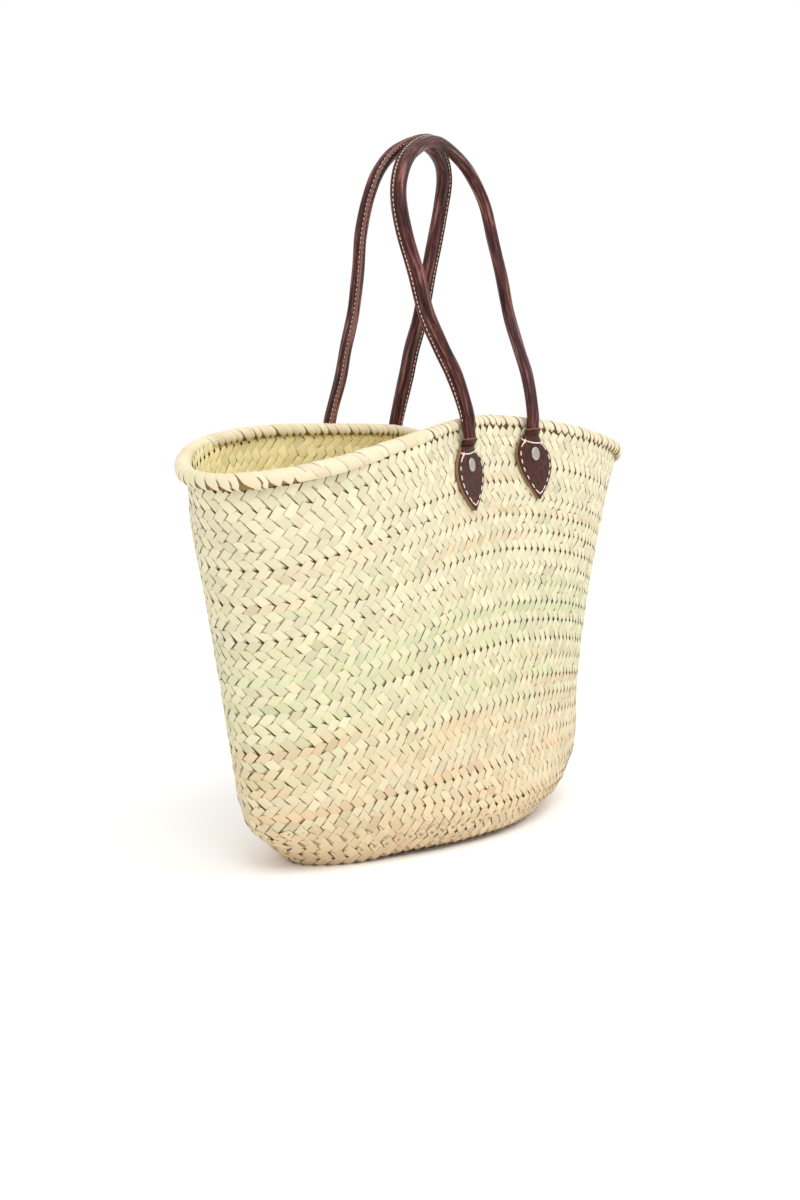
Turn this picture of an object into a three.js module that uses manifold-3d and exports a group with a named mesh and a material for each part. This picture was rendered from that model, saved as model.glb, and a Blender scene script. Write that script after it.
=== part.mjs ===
// Straw basket bag: a soft market basket of sewn palm-leaf braids with two long rolled leather
// handles. Millimetres, +Z up, X along the mouth, -Y the front wall. It stands on its flat base,
// with the origin on the floor under the middle of the whole bag.
import * as THREE from 'three';
import { mergeVertices } from 'three/addons/utils/BufferGeometryUtils.js';
import Module from 'manifold-3d';

// The basket
const BODY_HEIGHT = 313; // floor to the top of the wall, in the middle of the front
const HALF_LENGTH = 276; // middle to one end of the wall, at the mouth
const HALF_DEPTH = 92; // middle to a long wall, at the mouth's lobes
const WALL = 3.2; // sewn palm braid
const RIM_RADIUS = 6.9; // bundle of leaf bound over the wall's top edge
const RIM_SQUEEZE = 2; // taken off its radius between the handles, where the mouth is drawn together
const RIM_SQUEEZE_WIDTH = 0.9; // share of the half length
const RIM_INSET = 2; // the bundle sits a little to the inside of the long walls
const RIM_FLARE_LEFT = 7.2; // and leans outwards round the two ends
const RIM_FLARE_RIGHT = 4.7;
const RIM_FLARE_START = 0.55; // share of the half length
const RIM_FLARE_RUN = 0.3; // it is full after this run
const RIM_LIFT = 0.7; // and stands clear of the wall's edge where the mouth slopes
const GAP = 0.3; // clearance between pieces that touch
const BASE_FLAT = 0.7; // share of the base that lies flat on the floor

// How far the mouth hangs below its highest place, the middle of the front wall
const LEFT_DROP = 38;
const RIGHT_DROP = 43;
const BACK_DROP = 14.5;
const LOBE_LIFT = 14; // the back of the left lobe stands up a little
const LOBE_ANGLE = 0.69; // where it is highest, in half turns from the right end by the back
const LOBE_SPREAD = 0.2; // half turns
const BASE_ROUND = 7; // the edge of the base stands this far off the floor, but not at the left end
const BASE_LIFT = 8; // the right end of the base curls up further
const SAG_POWER = 1.86; // how a braid runs down from the middle of a long wall to its end
const SAG_POWER_TOP = 1.61; // and how the mouth does
const SAG_EARLY = 1.3; // the lower braids already follow the sag of the mouth
const LEFT_END_START = 0.6; // the rounded edge dies out from here to the left end, share of the length
const LEFT_END_RUN = 0.35;

// The two long walls are drawn together between the lobes of the mouth
const FRONT_PINCH = 30;
const BACK_PINCH = 50;
const PINCH_WIDTH = 0.46; // share of the half length
const PINCH_POWER = 2.6; // how fast the pinch dies out down the wall

// The handles and their leather
const ROUTE_FOOT = 15.5; // where the handle's route starts, above the top of the wall
const HANDLE_RISE = 206.5; // from there to the middle of the tube at the apex
const HANDLE_RADIUS = 4.9;
const HANDLE_MEETING = -4; // Y of the line where the two handles lean on each other
const FLANGE_WIDTH = 3.2; // the two edges of the rolled strip, stitched together
const FLANGE_THICKNESS = 2.6;
const FLANGE_AT_RIM = 0.25; // share of its width that is left where the handle passes the rim
const FLANGE_ABOVE_RIM = 0.5;
const FLANGE_END = 0.05; // and where it has died out
const RIM_CLEARANCE = 0.9; // widest place of the rim that a handle passes, share of the rim's radius
const STRAND_SPACING = 106; // between the two patches of one handle
const HANDLE_SHIFT = 6; // the handles sit a little right of the middle
const PATCH_LEAN = 0.12; // the patches hang askew: run to the right, share of the drop
const LEAN_CENTRE = 28; // drop at which a patch lies straight under its strand
const PATCH_LENGTH = 50;
const PATCH_WIDTH = 48;
const PATCH_THICKNESS = 2;
const PATCH_STANDOFF = 0.8; // its edges clear the facets of the curved wall
const PATCH_NECK = 0.5; // width at the top edge, share of PATCH_WIDTH
const PATCH_WIDEST = 0.32; // share of PATCH_LENGTH, from the top edge
const PATCH_END = 0.985; // the point is cut off here, share of PATCH_LENGTH
const PATCH_TAPER = 1; // power of the curve from the widest place to the point
const PATCH_SHOULDER = 1; // flat top beside the tongue, before the patch slopes to the wall
const PATCH_RUN_OUT = 8; // it settles on the wall over this length past the tongue
const TONGUE_LENGTH = 26; // flattened end of the handle, under the patch
const TONGUE_HALF_WIDTH = 7.6;
const TONGUE_HALF_THICKNESS = 1.3;
const TONGUE_ROUND = 5; // length of its narrowed tip
const TONGUE_TOP = 5; // full width from here down, below the patch's top edge
const TONGUE_SHOULDER = 1.5; // and thickened above here
const KEEPER_DROP_LEFT = 6; // top of the left keeper bands, below the wall's top edge
const KEEPER_DROP_RIGHT = 0.4;
const KEEPER_HEIGHT = 5;
const KEEPER_THICKNESS = 1.4;
const RIVET_DROP = 12.5; // from the patch's top edge
const RIVET_HEAD_RADIUS = 5.5;
const RIVET_HEAD_HEIGHT = 1.3;
const RIVET_SHANK_RADIUS = 2;
const BURR_RADIUS = 4.5; // the rivet's inner ring
const BURR_HEIGHT = 1;

// How finely the curved pieces are faceted
const BODY_STATIONS = 72;
const BODY_RINGS = 13;
const RIM_SIDES = 8;
const TUBE_STATIONS = 36;
const PATCH_ROWS = 10;
const PATCH_COLUMNS = 8;
const ROUND_SIDES = 12;
const HANDLE_SIDES = 8;
const STATION_SPREAD = 1.6; // evens out the stations along the long walls
const RING_SPREAD = 1.5; // crowds the rings where the wall turns in under the basket

function tableRows(columns, ...rows) {
  // Objects with the named columns, one for each row of numbers
  return rows.map((row) => Object.fromEntries(columns.map((column, i) => [column, row[i]])));
}

// Sections of the wall, from the edge of the base to the mouth.
// braid: share of the way up, counted in braids; height: share of BODY_HEIGHT
// left, right: shares of HALF_LENGTH; front, back: shares of HALF_DEPTH
// cornerLeft, cornerRight: power of the oval, 2 for an ellipse and more for a squarer end
const SECTIONS = tableRows(
  ['braid', 'height', 'left', 'right', 'front', 'back', 'cornerLeft', 'cornerRight'],
  [0.0, 0.0, 0.63, 0.58, 0.89, 0.87, 1.7, 1.9],
  [0.05, 0.05, 0.7, 0.68, 0.97, 0.95, 1.7, 1.95],
  [0.14, 0.135, 0.81, 0.815, 0.91, 0.92, 1.75, 2],
  [0.32, 0.327, 0.864, 0.842, 0.86, 0.9, 1.9, 2.1],
  [0.5, 0.52, 0.892, 0.868, 0.88, 0.915, 2.1, 2.2],
  [0.7, 0.717, 0.928, 0.914, 0.92, 0.94, 2.3, 2.3],
  [0.88, 0.882, 0.967, 0.967, 0.967, 0.962, 2.45, 2.4],
  [1.0, 1.0, 1.02, 1.015, 1, 0.973, 2.1, 2.5],
);

// Route of a handle from the rim to its apex.
// rise: share of HANDLE_RISE; spreads: shares of STRAND_SPACING between the two strands
// leans: shares of the way from the handle's own wall to the line where the handles meet
const HANDLE_ROUTE = tableRows(
  ['rise', 'spreadFront', 'spreadBack', 'leanFront', 'leanBack'],
  [0.12, 1.07, 0.95, 0.16, 0.16],
  [0.22, 1.14, 0.96, 0.31, 0.25],
  [0.35, 1.22, 0.98, 0.49, 0.4],
  [0.5, 1.26, 1.01, 0.62, 0.51],
  [0.65, 1.3, 1.07, 0.77, 0.61],
  [0.78, 1.26, 1.05, 0.87, 0.73],
  [0.88, 1.03, 0.94, 0.94, 0.85],
  [0.95, 0.67, 0.66, 0.98, 0.94],
  [1.0, 0, 0, 1, 1],
);

const wasm = await Module();
wasm.setup();

const up = new THREE.Vector3(0, 0, 1);

function smoothValue(column, braid) {
  // A cubic through the column's values, whose slope at a row comes from the rows beside it
  const last = SECTIONS.length - 1;
  let row = 0;
  while (row < last - 1 && braid > SECTIONS[row + 1].braid) row += 1;
  const slope = (at) => {
    const before = SECTIONS[Math.max(at - 1, 0)];
    const after = SECTIONS[Math.min(at + 1, last)];
    return (after[column] - before[column]) / (after.braid - before.braid);
  };
  const low = SECTIONS[row];
  const high = SECTIONS[row + 1];
  const step = high.braid - low.braid;
  const t = (braid - low.braid) / step;
  const ease = t * t * (3 - 2 * t);
  const leave = t * (1 - t) * (1 - t) * step * slope(row);
  const arrive = t * t * (t - 1) * step * slope(row + 1);
  return low[column] * (1 - ease) + high[column] * ease + leave + arrive;
}

function ovalPower(value, power) {
  return Math.sign(value) * Math.abs(value) ** (2 / power);
}

function bodyPoint(braid, angle) {
  // A point on the outside of the wall: angle 0 is the right end and 270 degrees the front
  const c = Math.cos(angle);
  const s = Math.sin(angle);
  const corner = smoothValue(c < 0 ? 'cornerLeft' : 'cornerRight', braid);
  const length = HALF_LENGTH * smoothValue(c < 0 ? 'left' : 'right', braid);
  const depth = HALF_DEPTH * smoothValue(s < 0 ? 'front' : 'back', braid);
  const along = ovalPower(c, corner);
  const across = ovalPower(s, corner);
  const nearMiddle = Math.exp(-((along / PINCH_WIDTH) ** 2));
  const pinch = (s < 0 ? FRONT_PINCH : BACK_PINCH) * nearMiddle * braid ** PINCH_POWER;
  const toEnd = Math.abs(along) ** (SAG_POWER + (SAG_POWER_TOP - SAG_POWER) * braid ** 4);
  const endDrop = c < 0 ? LEFT_DROP : RIGHT_DROP;
  const middleDrop = BACK_DROP * (across + 1) / 2;
  const drop = endDrop * toEnd + middleDrop * (1 - toEnd);
  const dropShare = braid * (1 + SAG_EARLY * (1 - braid));
  const lobe = (((angle / Math.PI + 2) % 2) - LOBE_ANGLE) / LOBE_SPREAD;
  const lift = LOBE_LIFT * braid * Math.exp(-(lobe ** 2));
  const leftEnd = Math.min(Math.max((-along - LEFT_END_START) / LEFT_END_RUN, 0), 1);
  const edge = BASE_ROUND * (1 - leftEnd * leftEnd * (3 - 2 * leftEnd) * (1 - braid) ** 3);
  const curl = edge + BASE_LIFT * Math.max(along, 0) ** 2 * (1 - braid) ** 2;
  const height = BODY_HEIGHT * smoothValue('height', braid) - drop * dropShare + lift + curl;
  return new THREE.Vector3(length * along, (depth - pinch) * across, height);
}

function bodyNormal(braid, angle) {
  const step = 0.004;
  const low = Math.max(braid - step, 0);
  const high = Math.min(braid + step, 1);
  const rising = bodyPoint(high, angle).sub(bodyPoint(low, angle));
  const turning = bodyPoint(braid, angle + step).sub(bodyPoint(braid, angle - step));
  return turning.cross(rising).normalize();
}

function stationAngle(station) {
  // Stations around the wall, spread so that they are evenly spaced along the long walls
  const turn = (2 * Math.PI * station) / BODY_STATIONS;
  const angle = Math.acos(ovalPower(Math.cos(turn), STATION_SPREAD));
  return Math.sin(turn) < 0 ? 2 * Math.PI - angle : angle;
}

function solidGeometry(points, faces) {
  // faces: lists of three or four corners, counter-clockwise seen from outside
  const positions = points.flatMap((p) => [p.x, p.y, p.z]);
  const index = faces.flatMap((f) => (f.length === 3 ? f : [f[0], f[1], f[2], f[0], f[2], f[3]]));
  const geometry = new THREE.BufferGeometry();
  geometry.setAttribute('position', new THREE.Float32BufferAttribute(positions, 3));
  geometry.setIndex(index);
  return geometry;
}

function joinRings(faces, low, high, count) {
  // Faces between two closed rings of points, each given by the number of its first point
  for (let i = 0; i < count; i += 1) {
    const next = (i + 1) % count;
    faces.push([low + i, low + next, high + next, high + i]);
  }
}

function closeRing(faces, first, count, centre, flipped) {
  for (let i = 0; i < count; i += 1) {
    const a = first + i;
    const b = first + ((i + 1) % count);
    faces.push(flipped ? [b, a, centre] : [a, b, centre]);
  }
}

function ringSolid(rings, closed) {
  // A solid through rings of points in order: an end to end body, or a loop where closed is true
  const count = rings[0].length;
  const points = rings.flat();
  const faces = [];
  for (let i = 0; i + 1 < rings.length; i += 1) joinRings(faces, i * count, (i + 1) * count, count);
  if (closed) {
    joinRings(faces, (rings.length - 1) * count, 0, count);
  } else {
    const middle = (ring) => ring.reduce((sum, p) => sum.add(p), new THREE.Vector3()).divideScalar(count);
    points.push(middle(rings[0]), middle(rings[rings.length - 1]));
    closeRing(faces, 0, count, points.length - 2, true);
    closeRing(faces, (rings.length - 1) * count, count, points.length - 1, false);
  }
  return solidGeometry(points, faces);
}

function toSolid(geometry) {
  const bare = geometry.clone();
  bare.deleteAttribute('normal');
  bare.deleteAttribute('uv');
  const merged = mergeVertices(bare, 1e-4);
  const vertProperties = new Float32Array(merged.attributes.position.array);
  const triVerts = new Uint32Array(merged.index.array);
  return new wasm.Manifold(new wasm.Mesh({ numProp: 3, vertProperties, triVerts }));
}

function cutAway(geometry, cutters) {
  let solid = toSolid(geometry);
  for (const cutter of cutters) solid = solid.subtract(toSolid(cutter));
  const mesh = solid.getMesh();
  const result = new THREE.BufferGeometry();
  result.setAttribute('position', new THREE.Float32BufferAttribute(mesh.vertProperties, 3));
  result.setIndex(Array.from(mesh.triVerts));
  return result;
}

function bodyGeometry() {
  // The rings lie closer together where the wall turns in under the basket
  const braids = [];
  for (let i = 0; i <= BODY_RINGS; i += 1) braids.push((i / BODY_RINGS) ** RING_SPREAD);
  const angles = [];
  for (let i = 0; i < BODY_STATIONS; i += 1) angles.push(stationAngle(i));
  const outer = braids.map((braid) => angles.map((angle) => bodyPoint(braid, angle)));
  const inner = braids.map((braid, ring) => angles.map((angle, i) => {
    const point = outer[ring][i].clone().addScaledVector(bodyNormal(braid, angle), -WALL);
    if (ring === 0) point.z = outer[0][i].z + WALL;
    if (braid === 1) point.z = outer[ring][i].z;
    return point;
  }));
  const flat = (ring, z) => ring.map((p) => new THREE.Vector3(p.x * BASE_FLAT, p.y * BASE_FLAT, z));
  const rings = [flat(outer[0], 0), ...outer, ...inner.reverse(), flat(outer[0], WALL)];
  return ringSolid(rings, false);
}

function rimRadius(point) {
  return RIM_RADIUS - RIM_SQUEEZE * Math.exp(-((point.x / HALF_LENGTH / RIM_SQUEEZE_WIDTH) ** 2));
}

function rimCentre(angle) {
  const normal = bodyNormal(1, angle);
  const middle = bodyPoint(1, angle).addScaledVector(normal, -WALL / 2);
  const run = (Math.abs(middle.x) / HALF_LENGTH - RIM_FLARE_START) / RIM_FLARE_RUN;
  const flare = (middle.x < 0 ? RIM_FLARE_LEFT : RIM_FLARE_RIGHT) * THREE.MathUtils.smoothstep(run, 0, 1);
  const outward = new THREE.Vector3(normal.x, normal.y, 0).normalize().multiplyScalar(flare - RIM_INSET);
  return middle.setZ(bodyPoint(1, angle).z + rimRadius(middle) + RIM_LIFT).add(outward);
}

function circleRing(centre, side, top, radius, count) {
  const ring = [];
  for (let i = 0; i < count; i += 1) {
    const turn = (2 * Math.PI * i) / count;
    const point = centre.clone().addScaledVector(side, radius * Math.cos(turn));
    ring.push(point.addScaledVector(top, radius * Math.sin(turn)));
  }
  return ring;
}

function rimGeometry() {
  const rings = [];
  const middles = [];
  for (let i = 0; i < BODY_STATIONS; i += 1) middles.push(rimCentre(stationAngle(i)));
  for (let i = 0; i < BODY_STATIONS; i += 1) {
    const centre = middles[i];
    const before = middles[(i + BODY_STATIONS - 1) % BODY_STATIONS];
    const along = middles[(i + 1) % BODY_STATIONS].clone().sub(before).normalize();
    const side = along.clone().cross(up).normalize();
    const top = side.clone().cross(along).normalize();
    rings.push(circleRing(centre, top, side, rimRadius(centre), RIM_SIDES));
  }
  return ringSolid(rings, true);
}

function wallPlace(side, x, drop) {
  // A place on a long wall, x along the bag and drop below the wall's top edge. side: -1 front, 1 back
  const middleAngle = side < 0 ? 1.5 * Math.PI : 0.5 * Math.PI;
  const sampleShare = 0.2;
  const sample = bodyPoint(1, middleAngle).distanceTo(bodyPoint(1 - sampleShare, middleAngle));
  const braid = 1 - (drop * sampleShare) / sample;
  const length = HALF_LENGTH * smoothValue(x < 0 ? 'left' : 'right', braid);
  const corner = smoothValue(x < 0 ? 'cornerLeft' : 'cornerRight', braid);
  const turn = Math.acos(Math.sign(x) * Math.abs(x / length) ** (corner / 2));
  const angle = side < 0 ? 2 * Math.PI - turn : turn;
  const normal = bodyNormal(braid, angle);
  const across = new THREE.Vector3(1, 0, 0).addScaledVector(normal, -normal.x).normalize();
  return { point: bodyPoint(braid, angle), normal, across };
}

function strandX(strand, spread = 1) {
  // Place of a strand along the bag. strand: -1 left, 1 right
  return HANDLE_SHIFT + (strand * spread * STRAND_SPACING) / 2;
}

function footX(strand, below) {
  // Place of a strand's end along the bag, below the wall's top edge
  return strandX(strand) + PATCH_LEAN * (below - LEAN_CENTRE);
}

function footPlace(side, strand, drop, offset = 0) {
  // A place under a handle's end: drop below the top edge of its keeper, offset from its middle
  const below = (strand < 0 ? KEEPER_DROP_LEFT : KEEPER_DROP_RIGHT) + drop;
  return wallPlace(side, footX(strand, below) + offset, below);
}

// Levels below the top edge of a keeper
const keeperFoot = KEEPER_HEIGHT;
const patchTop = keeperFoot + 5 * GAP;
const tongueTip = patchTop + TONGUE_LENGTH;
const keeperStandoff = KEEPER_THICKNESS + 4.2 * GAP;
const apexSidestep = (HANDLE_RADIUS + FLANGE_WIDTH + FLANGE_THICKNESS / 2) * Math.SQRT1_2 + GAP / 2;

// The end of a handle, from the tip of the tongue up to the keeper: how far below the keeper's
// top edge, half sizes across and outwards, and how far the leather stands off the wall
const END_SECTIONS = tableRows(
  ['drop', 'width', 'thickness', 'standoff'],
  [tongueTip, 0.78 * TONGUE_HALF_WIDTH, 0.6 * TONGUE_HALF_THICKNESS, GAP],
  [tongueTip - TONGUE_ROUND, TONGUE_HALF_WIDTH, TONGUE_HALF_THICKNESS, GAP],
  [patchTop + TONGUE_TOP, TONGUE_HALF_WIDTH, TONGUE_HALF_THICKNESS, GAP],
  [patchTop + TONGUE_SHOULDER, 0.95 * TONGUE_HALF_WIDTH, 1.35 * TONGUE_HALF_THICKNESS, 2 * GAP],
  [keeperFoot, 1.3 * HANDLE_RADIUS, 0.5 * HANDLE_RADIUS, keeperStandoff],
  [0, HANDLE_RADIUS, 0.94 * HANDLE_RADIUS, keeperStandoff],
);

function endSection(drop) {
  // The end section at any depth, between the rows above
  const after = END_SECTIONS.findIndex((row) => row.drop <= drop);
  const high = END_SECTIONS[Math.max(after, 1)];
  const low = END_SECTIONS[Math.max(after, 1) - 1];
  const t = (low.drop - drop) / (low.drop - high.drop);
  const mix = (column) => low[column] + (high[column] - low[column]) * t;
  return { width: mix('width'), thickness: mix('thickness'), standoff: mix('standoff') };
}

function tubeRing(station, side) {
  // Outline of the rolled strip: a round tube whose two edges stand out as a stitched flange,
  // away from the middle of the loop and towards the other handle
  const { centre, inner, outward, width, thickness, flange } = station;
  const flangeAngle = 1.25 * Math.PI;
  const root = Math.asin(FLANGE_THICKNESS / 2 / HANDLE_RADIUS);
  const away = inner.clone().add(outward).normalize().multiplyScalar(-FLANGE_WIDTH * flange);
  const onTube = (turn) => centre.clone().addScaledVector(inner, width * Math.cos(turn))
    .addScaledVector(outward, thickness * Math.sin(turn));
  const ring = [onTube(flangeAngle - root), onTube(flangeAngle - root).add(away)];
  ring.push(onTube(flangeAngle + root).add(away), onTube(flangeAngle + root));
  const step = (2 * Math.PI) / HANDLE_SIDES;
  for (let i = 1; i < HANDLE_SIDES; i += 1) ring.push(onTube(flangeAngle + i * step));
  return side < 0 ? ring.reverse() : ring;
}

function handleEnd(side, strand) {
  // Stations of one end of a handle, from the tongue's tip to the rim. strand: -1 left, 1 right
  return END_SECTIONS.map(({ drop, width, thickness, standoff }) => {
    const place = footPlace(side, strand, drop);
    const centre = place.point.addScaledVector(place.normal, standoff + thickness);
    const inner = place.across.multiplyScalar(-strand);
    return { centre, inner, outward: place.normal, width, thickness, flange: FLANGE_END };
  });
}

function handleRoute(side) {
  // Control stations of the free part of a handle: over the rim, up to the apex and down again
  const y = (share, from) => from + (HANDLE_MEETING + side * apexSidestep - from) * share;
  const half = (strand) => {
    const place = wallPlace(side, footX(strand, 0), 0);
    const outward = new THREE.Vector3(0, side, 0);
    const level = place.normal.clone().setZ(0).normalize();
    const rim = rimRadius(place.point);
    const rimReach = rim - RIM_INSET - WALL / 2 + 3 * GAP + HANDLE_RADIUS;
    const overRim = place.point.clone().addScaledVector(level, rimReach);
    overRim.z += RIM_CLEARANCE * rim;
    const crown = overRim.clone();
    crown.z = place.point.z + 2 * rim + RIM_LIFT;
    const rows = [
      { centre: overRim, outward: level, flange: FLANGE_AT_RIM },
      { centre: crown, outward, flange: FLANGE_ABOVE_RIM },
    ];
    const baseZ = BODY_HEIGHT + BASE_ROUND + ROUTE_FOOT;
    for (const row of HANDLE_ROUTE) {
      const spread = side < 0 ? row.spreadFront : row.spreadBack;
      const lean = side < 0 ? row.leanFront : row.leanBack;
      const z = baseZ + HANDLE_RISE * row.rise;
      const centre = new THREE.Vector3(strandX(strand, spread), y(lean, crown.y), z);
      rows.push({ centre, outward, flange: 1 });
    }
    return rows;
  };
  const right = half(1).reverse();
  return [...half(-1), ...right.slice(1)];
}

function handleStations(side) {
  const route = handleRoute(side);
  const curve = new THREE.CatmullRomCurve3(route.map((row) => row.centre), false, 'centripetal');
  const stations = [];
  const last = route.length - 1;
  // Equal steps along the tube; each takes its flange and direction from the rows around it
  for (let i = 0; i <= TUBE_STATIONS; i += 1) {
    const t = curve.getUtoTmapping(i / TUBE_STATIONS);
    const at = Math.min(t * last, last - 1e-6);
    const row = Math.floor(at);
    const share = at - row;
    const outward = route[row].outward.clone().lerp(route[row + 1].outward, share);
    const tangent = curve.getTangent(t);
    outward.addScaledVector(tangent, -outward.dot(tangent)).normalize();
    const inner = side < 0 ? tangent.clone().cross(outward) : outward.clone().cross(tangent);
    const flange = route[row].flange + (route[row + 1].flange - route[row].flange) * share;
    const round = { width: HANDLE_RADIUS, thickness: HANDLE_RADIUS };
    stations.push({ centre: curve.getPoint(t), inner, outward, ...round, flange });
  }
  return [...handleEnd(side, -1), ...stations, ...handleEnd(side, 1).reverse()];
}

function handleGeometry(side) {
  const geometry = ringSolid(handleStations(side).map((station) => tubeRing(station, side)), false);
  return cutAway(geometry, [rivetHole(side, -1), rivetHole(side, 1)]);
}

function patchHalfWidth(share) {
  // Leaf shape: from the neck out to the widest place, then in to a point
  if (share < PATCH_WIDEST) {
    const ease = Math.sin((Math.PI / 2) * (share / PATCH_WIDEST));
    return (PATCH_WIDTH / 2) * (PATCH_NECK + (1 - PATCH_NECK) * ease);
  }
  const toTip = (share - PATCH_WIDEST) / (1 - PATCH_WIDEST);
  return (PATCH_WIDTH / 2) * Math.cos((Math.PI / 2) * toTip) ** PATCH_TAPER;
}

function patchUnderside(drop, fromMiddle, halfWidth) {
  // How far the patch stands off the wall: it runs over the tongue and lies flat beside it
  const pastTip = Math.max(drop - tongueTip - TONGUE_ROUND, 0);
  const section = endSection(Math.min(drop, tongueTip));
  const over = section.standoff + 2 * section.thickness + GAP;
  const high = PATCH_STANDOFF + (over - PATCH_STANDOFF) * Math.max(1 - pastTip / PATCH_RUN_OUT, 0);
  const shoulder = Math.min(section.width + PATCH_SHOULDER, 0.8 * halfWidth);
  const t = Math.min(Math.max((fromMiddle - shoulder) / (halfWidth - shoulder), 0), 1);
  return high + (PATCH_STANDOFF - high) * t * t * (3 - 2 * t);
}

function patchGeometry(side, strand) {
  const layers = [[], []];
  for (let i = 0; i <= PATCH_ROWS; i += 1) {
    const share = PATCH_END * (i / PATCH_ROWS);
    const halfWidth = patchHalfWidth(share);
    const drop = patchTop + PATCH_LENGTH * share;
    const rows = [[], []];
    for (let j = 0; j <= PATCH_COLUMNS; j += 1) {
      const offset = halfWidth * ((2 * j) / PATCH_COLUMNS - 1);
      const place = footPlace(side, strand, drop, offset);
      const underside = patchUnderside(drop, Math.abs(offset), halfWidth);
      rows[0].push(place.point.clone().addScaledVector(place.normal, underside));
      rows[1].push(place.point.clone().addScaledVector(place.normal, underside + PATCH_THICKNESS));
    }
    layers[0].push(rows[0]);
    layers[1].push(rows[1]);
  }
  // Each row becomes a closed ring: across the outer face and back along the inner face
  const rings = layers[0].map((under, i) => {
    const ring = [...layers[1][i], ...under.slice().reverse()];
    return side < 0 ? ring.reverse() : ring;
  });
  return cutAway(ringSolid(rings, false), [rivetHole(side, strand)]);
}

function keeperGeometry(side, strand) {
  const ringAt = (drop, extra) => {
    const place = footPlace(side, strand, drop);
    const section = endSection(drop);
    const centre = place.point.clone().addScaledVector(place.normal, section.standoff + section.thickness);
    const ring = [];
    for (let i = 0; i < ROUND_SIDES; i += 1) {
      const turn = (2 * Math.PI * i) / ROUND_SIDES;
      const point = centre.clone().addScaledVector(place.across, (section.width + extra) * Math.cos(turn));
      ring.push(point.addScaledVector(place.normal, (section.thickness + extra) * Math.sin(turn)));
    }
    return side < 0 ? ring.reverse() : ring;
  };
  const inside = 3 * GAP;
  const outside = inside + KEEPER_THICKNESS;
  const outer = [ringAt(keeperFoot, outside), ringAt(0, outside)];
  const inner = [ringAt(0, inside), ringAt(keeperFoot, inside)];
  return ringSolid([...outer, ...inner], true);
}

function alongNormal(geometry, side, strand) {
  // Turns a shape made along Y to stand on the wall at a rivet's place, Y outwards
  const place = footPlace(side, strand, patchTop + RIVET_DROP);
  const turn = new THREE.Quaternion().setFromUnitVectors(new THREE.Vector3(0, 1, 0), place.normal);
  geometry.applyQuaternion(turn);
  geometry.translate(place.point.x, place.point.y, place.point.z);
  return geometry;
}

function rivetHole(side, strand) {
  const radius = RIVET_SHANK_RADIUS + GAP;
  const length = 6 * WALL;
  return alongNormal(new THREE.CylinderGeometry(radius, radius, length, ROUND_SIDES), side, strand);
}

function rivetGeometry(side, strand) {
  const headFoot = patchUnderside(patchTop + RIVET_DROP, 0, PATCH_WIDTH / 2) + PATCH_THICKNESS + GAP;
  const burrTop = -WALL - 2 * GAP;
  const profile = [
    [0, burrTop - BURR_HEIGHT],
    [BURR_RADIUS, burrTop - BURR_HEIGHT],
    [BURR_RADIUS, burrTop],
    [RIVET_SHANK_RADIUS, burrTop],
    [RIVET_SHANK_RADIUS, headFoot],
    [RIVET_HEAD_RADIUS, headFoot],
    [RIVET_HEAD_RADIUS, headFoot + 0.35 * RIVET_HEAD_HEIGHT],
    [0.8 * RIVET_HEAD_RADIUS, headFoot + 0.8 * RIVET_HEAD_HEIGHT],
    [0, headFoot + RIVET_HEAD_HEIGHT],
  ];
  const lathe = new THREE.LatheGeometry(profile.map(([r, y]) => new THREE.Vector2(r, y)), ROUND_SIDES);
  return alongNormal(cutAway(lathe, []), side, strand);
}

const finishes = {
  straw: { color: '#e6d9ae', roughness: 0.75, metalness: 0 },
  rim: { color: '#e9ddb4', roughness: 0.7, metalness: 0 },
  leather: { color: '#5a3630', roughness: 0.45, metalness: 0 },
  patch: { color: '#4f302b', roughness: 0.5, metalness: 0 },
  nickel: { color: '#b9b2aa', roughness: 0.35, metalness: 1 },
};

function piece(name, geometry, finish) {
  const mesh = new THREE.Mesh(geometry, new THREE.MeshStandardMaterial(finishes[finish]));
  mesh.name = name;
  return mesh;
}

const bag = new THREE.Group();
const holes = [-1, 1].flatMap((side) => [-1, 1].map((strand) => rivetHole(side, strand)));
bag.add(piece('basket_body', cutAway(bodyGeometry(), holes), 'straw'));
bag.add(piece('rim_roll', rimGeometry(), 'rim'));
for (const side of [-1, 1]) {
  const wall = side < 0 ? 'front' : 'back';
  bag.add(piece(`handle_${wall}`, handleGeometry(side), 'leather'));
  for (const strand of [-1, 1]) {
    const place = `${wall}_${strand < 0 ? 'left' : 'right'}`;
    bag.add(piece(`patch_${place}`, patchGeometry(side, strand), 'patch'));
    bag.add(piece(`keeper_${place}`, keeperGeometry(side, strand), 'patch'));
    bag.add(piece(`rivet_${place}`, rivetGeometry(side, strand), 'nickel'));
  }
}

// The origin goes to the floor, under the middle of the whole bag
const extent = new THREE.Box3().setFromObject(bag);
const centre = extent.getCenter(new THREE.Vector3());
for (const mesh of bag.children) mesh.geometry.translate(-centre.x, -centre.y, -extent.min.z);

export default bag;
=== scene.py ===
# %% [markdown]
# # Straw basket bag
# A soft market basket of palm-leaf braids sewn edge to edge, with a wound rim and two long rolled
# leather handles. Metres, +Z up, X along the mouth, -Y the front wall. The wall, rim, handles and
# patches repeat the shape of the frame's solids; this scene adds the weave, the windings, the
# creases and the stitching.
#
# Each step has a note on what the piece is on the real bag and why it is made this way, and then
# short cells of code. Run them from the top: a later cell uses the helpers of the earlier ones.

# %% Tools, and the frame with its solids
import math

import bpy
import numpy as np
from mathutils import Matrix, Vector


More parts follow.
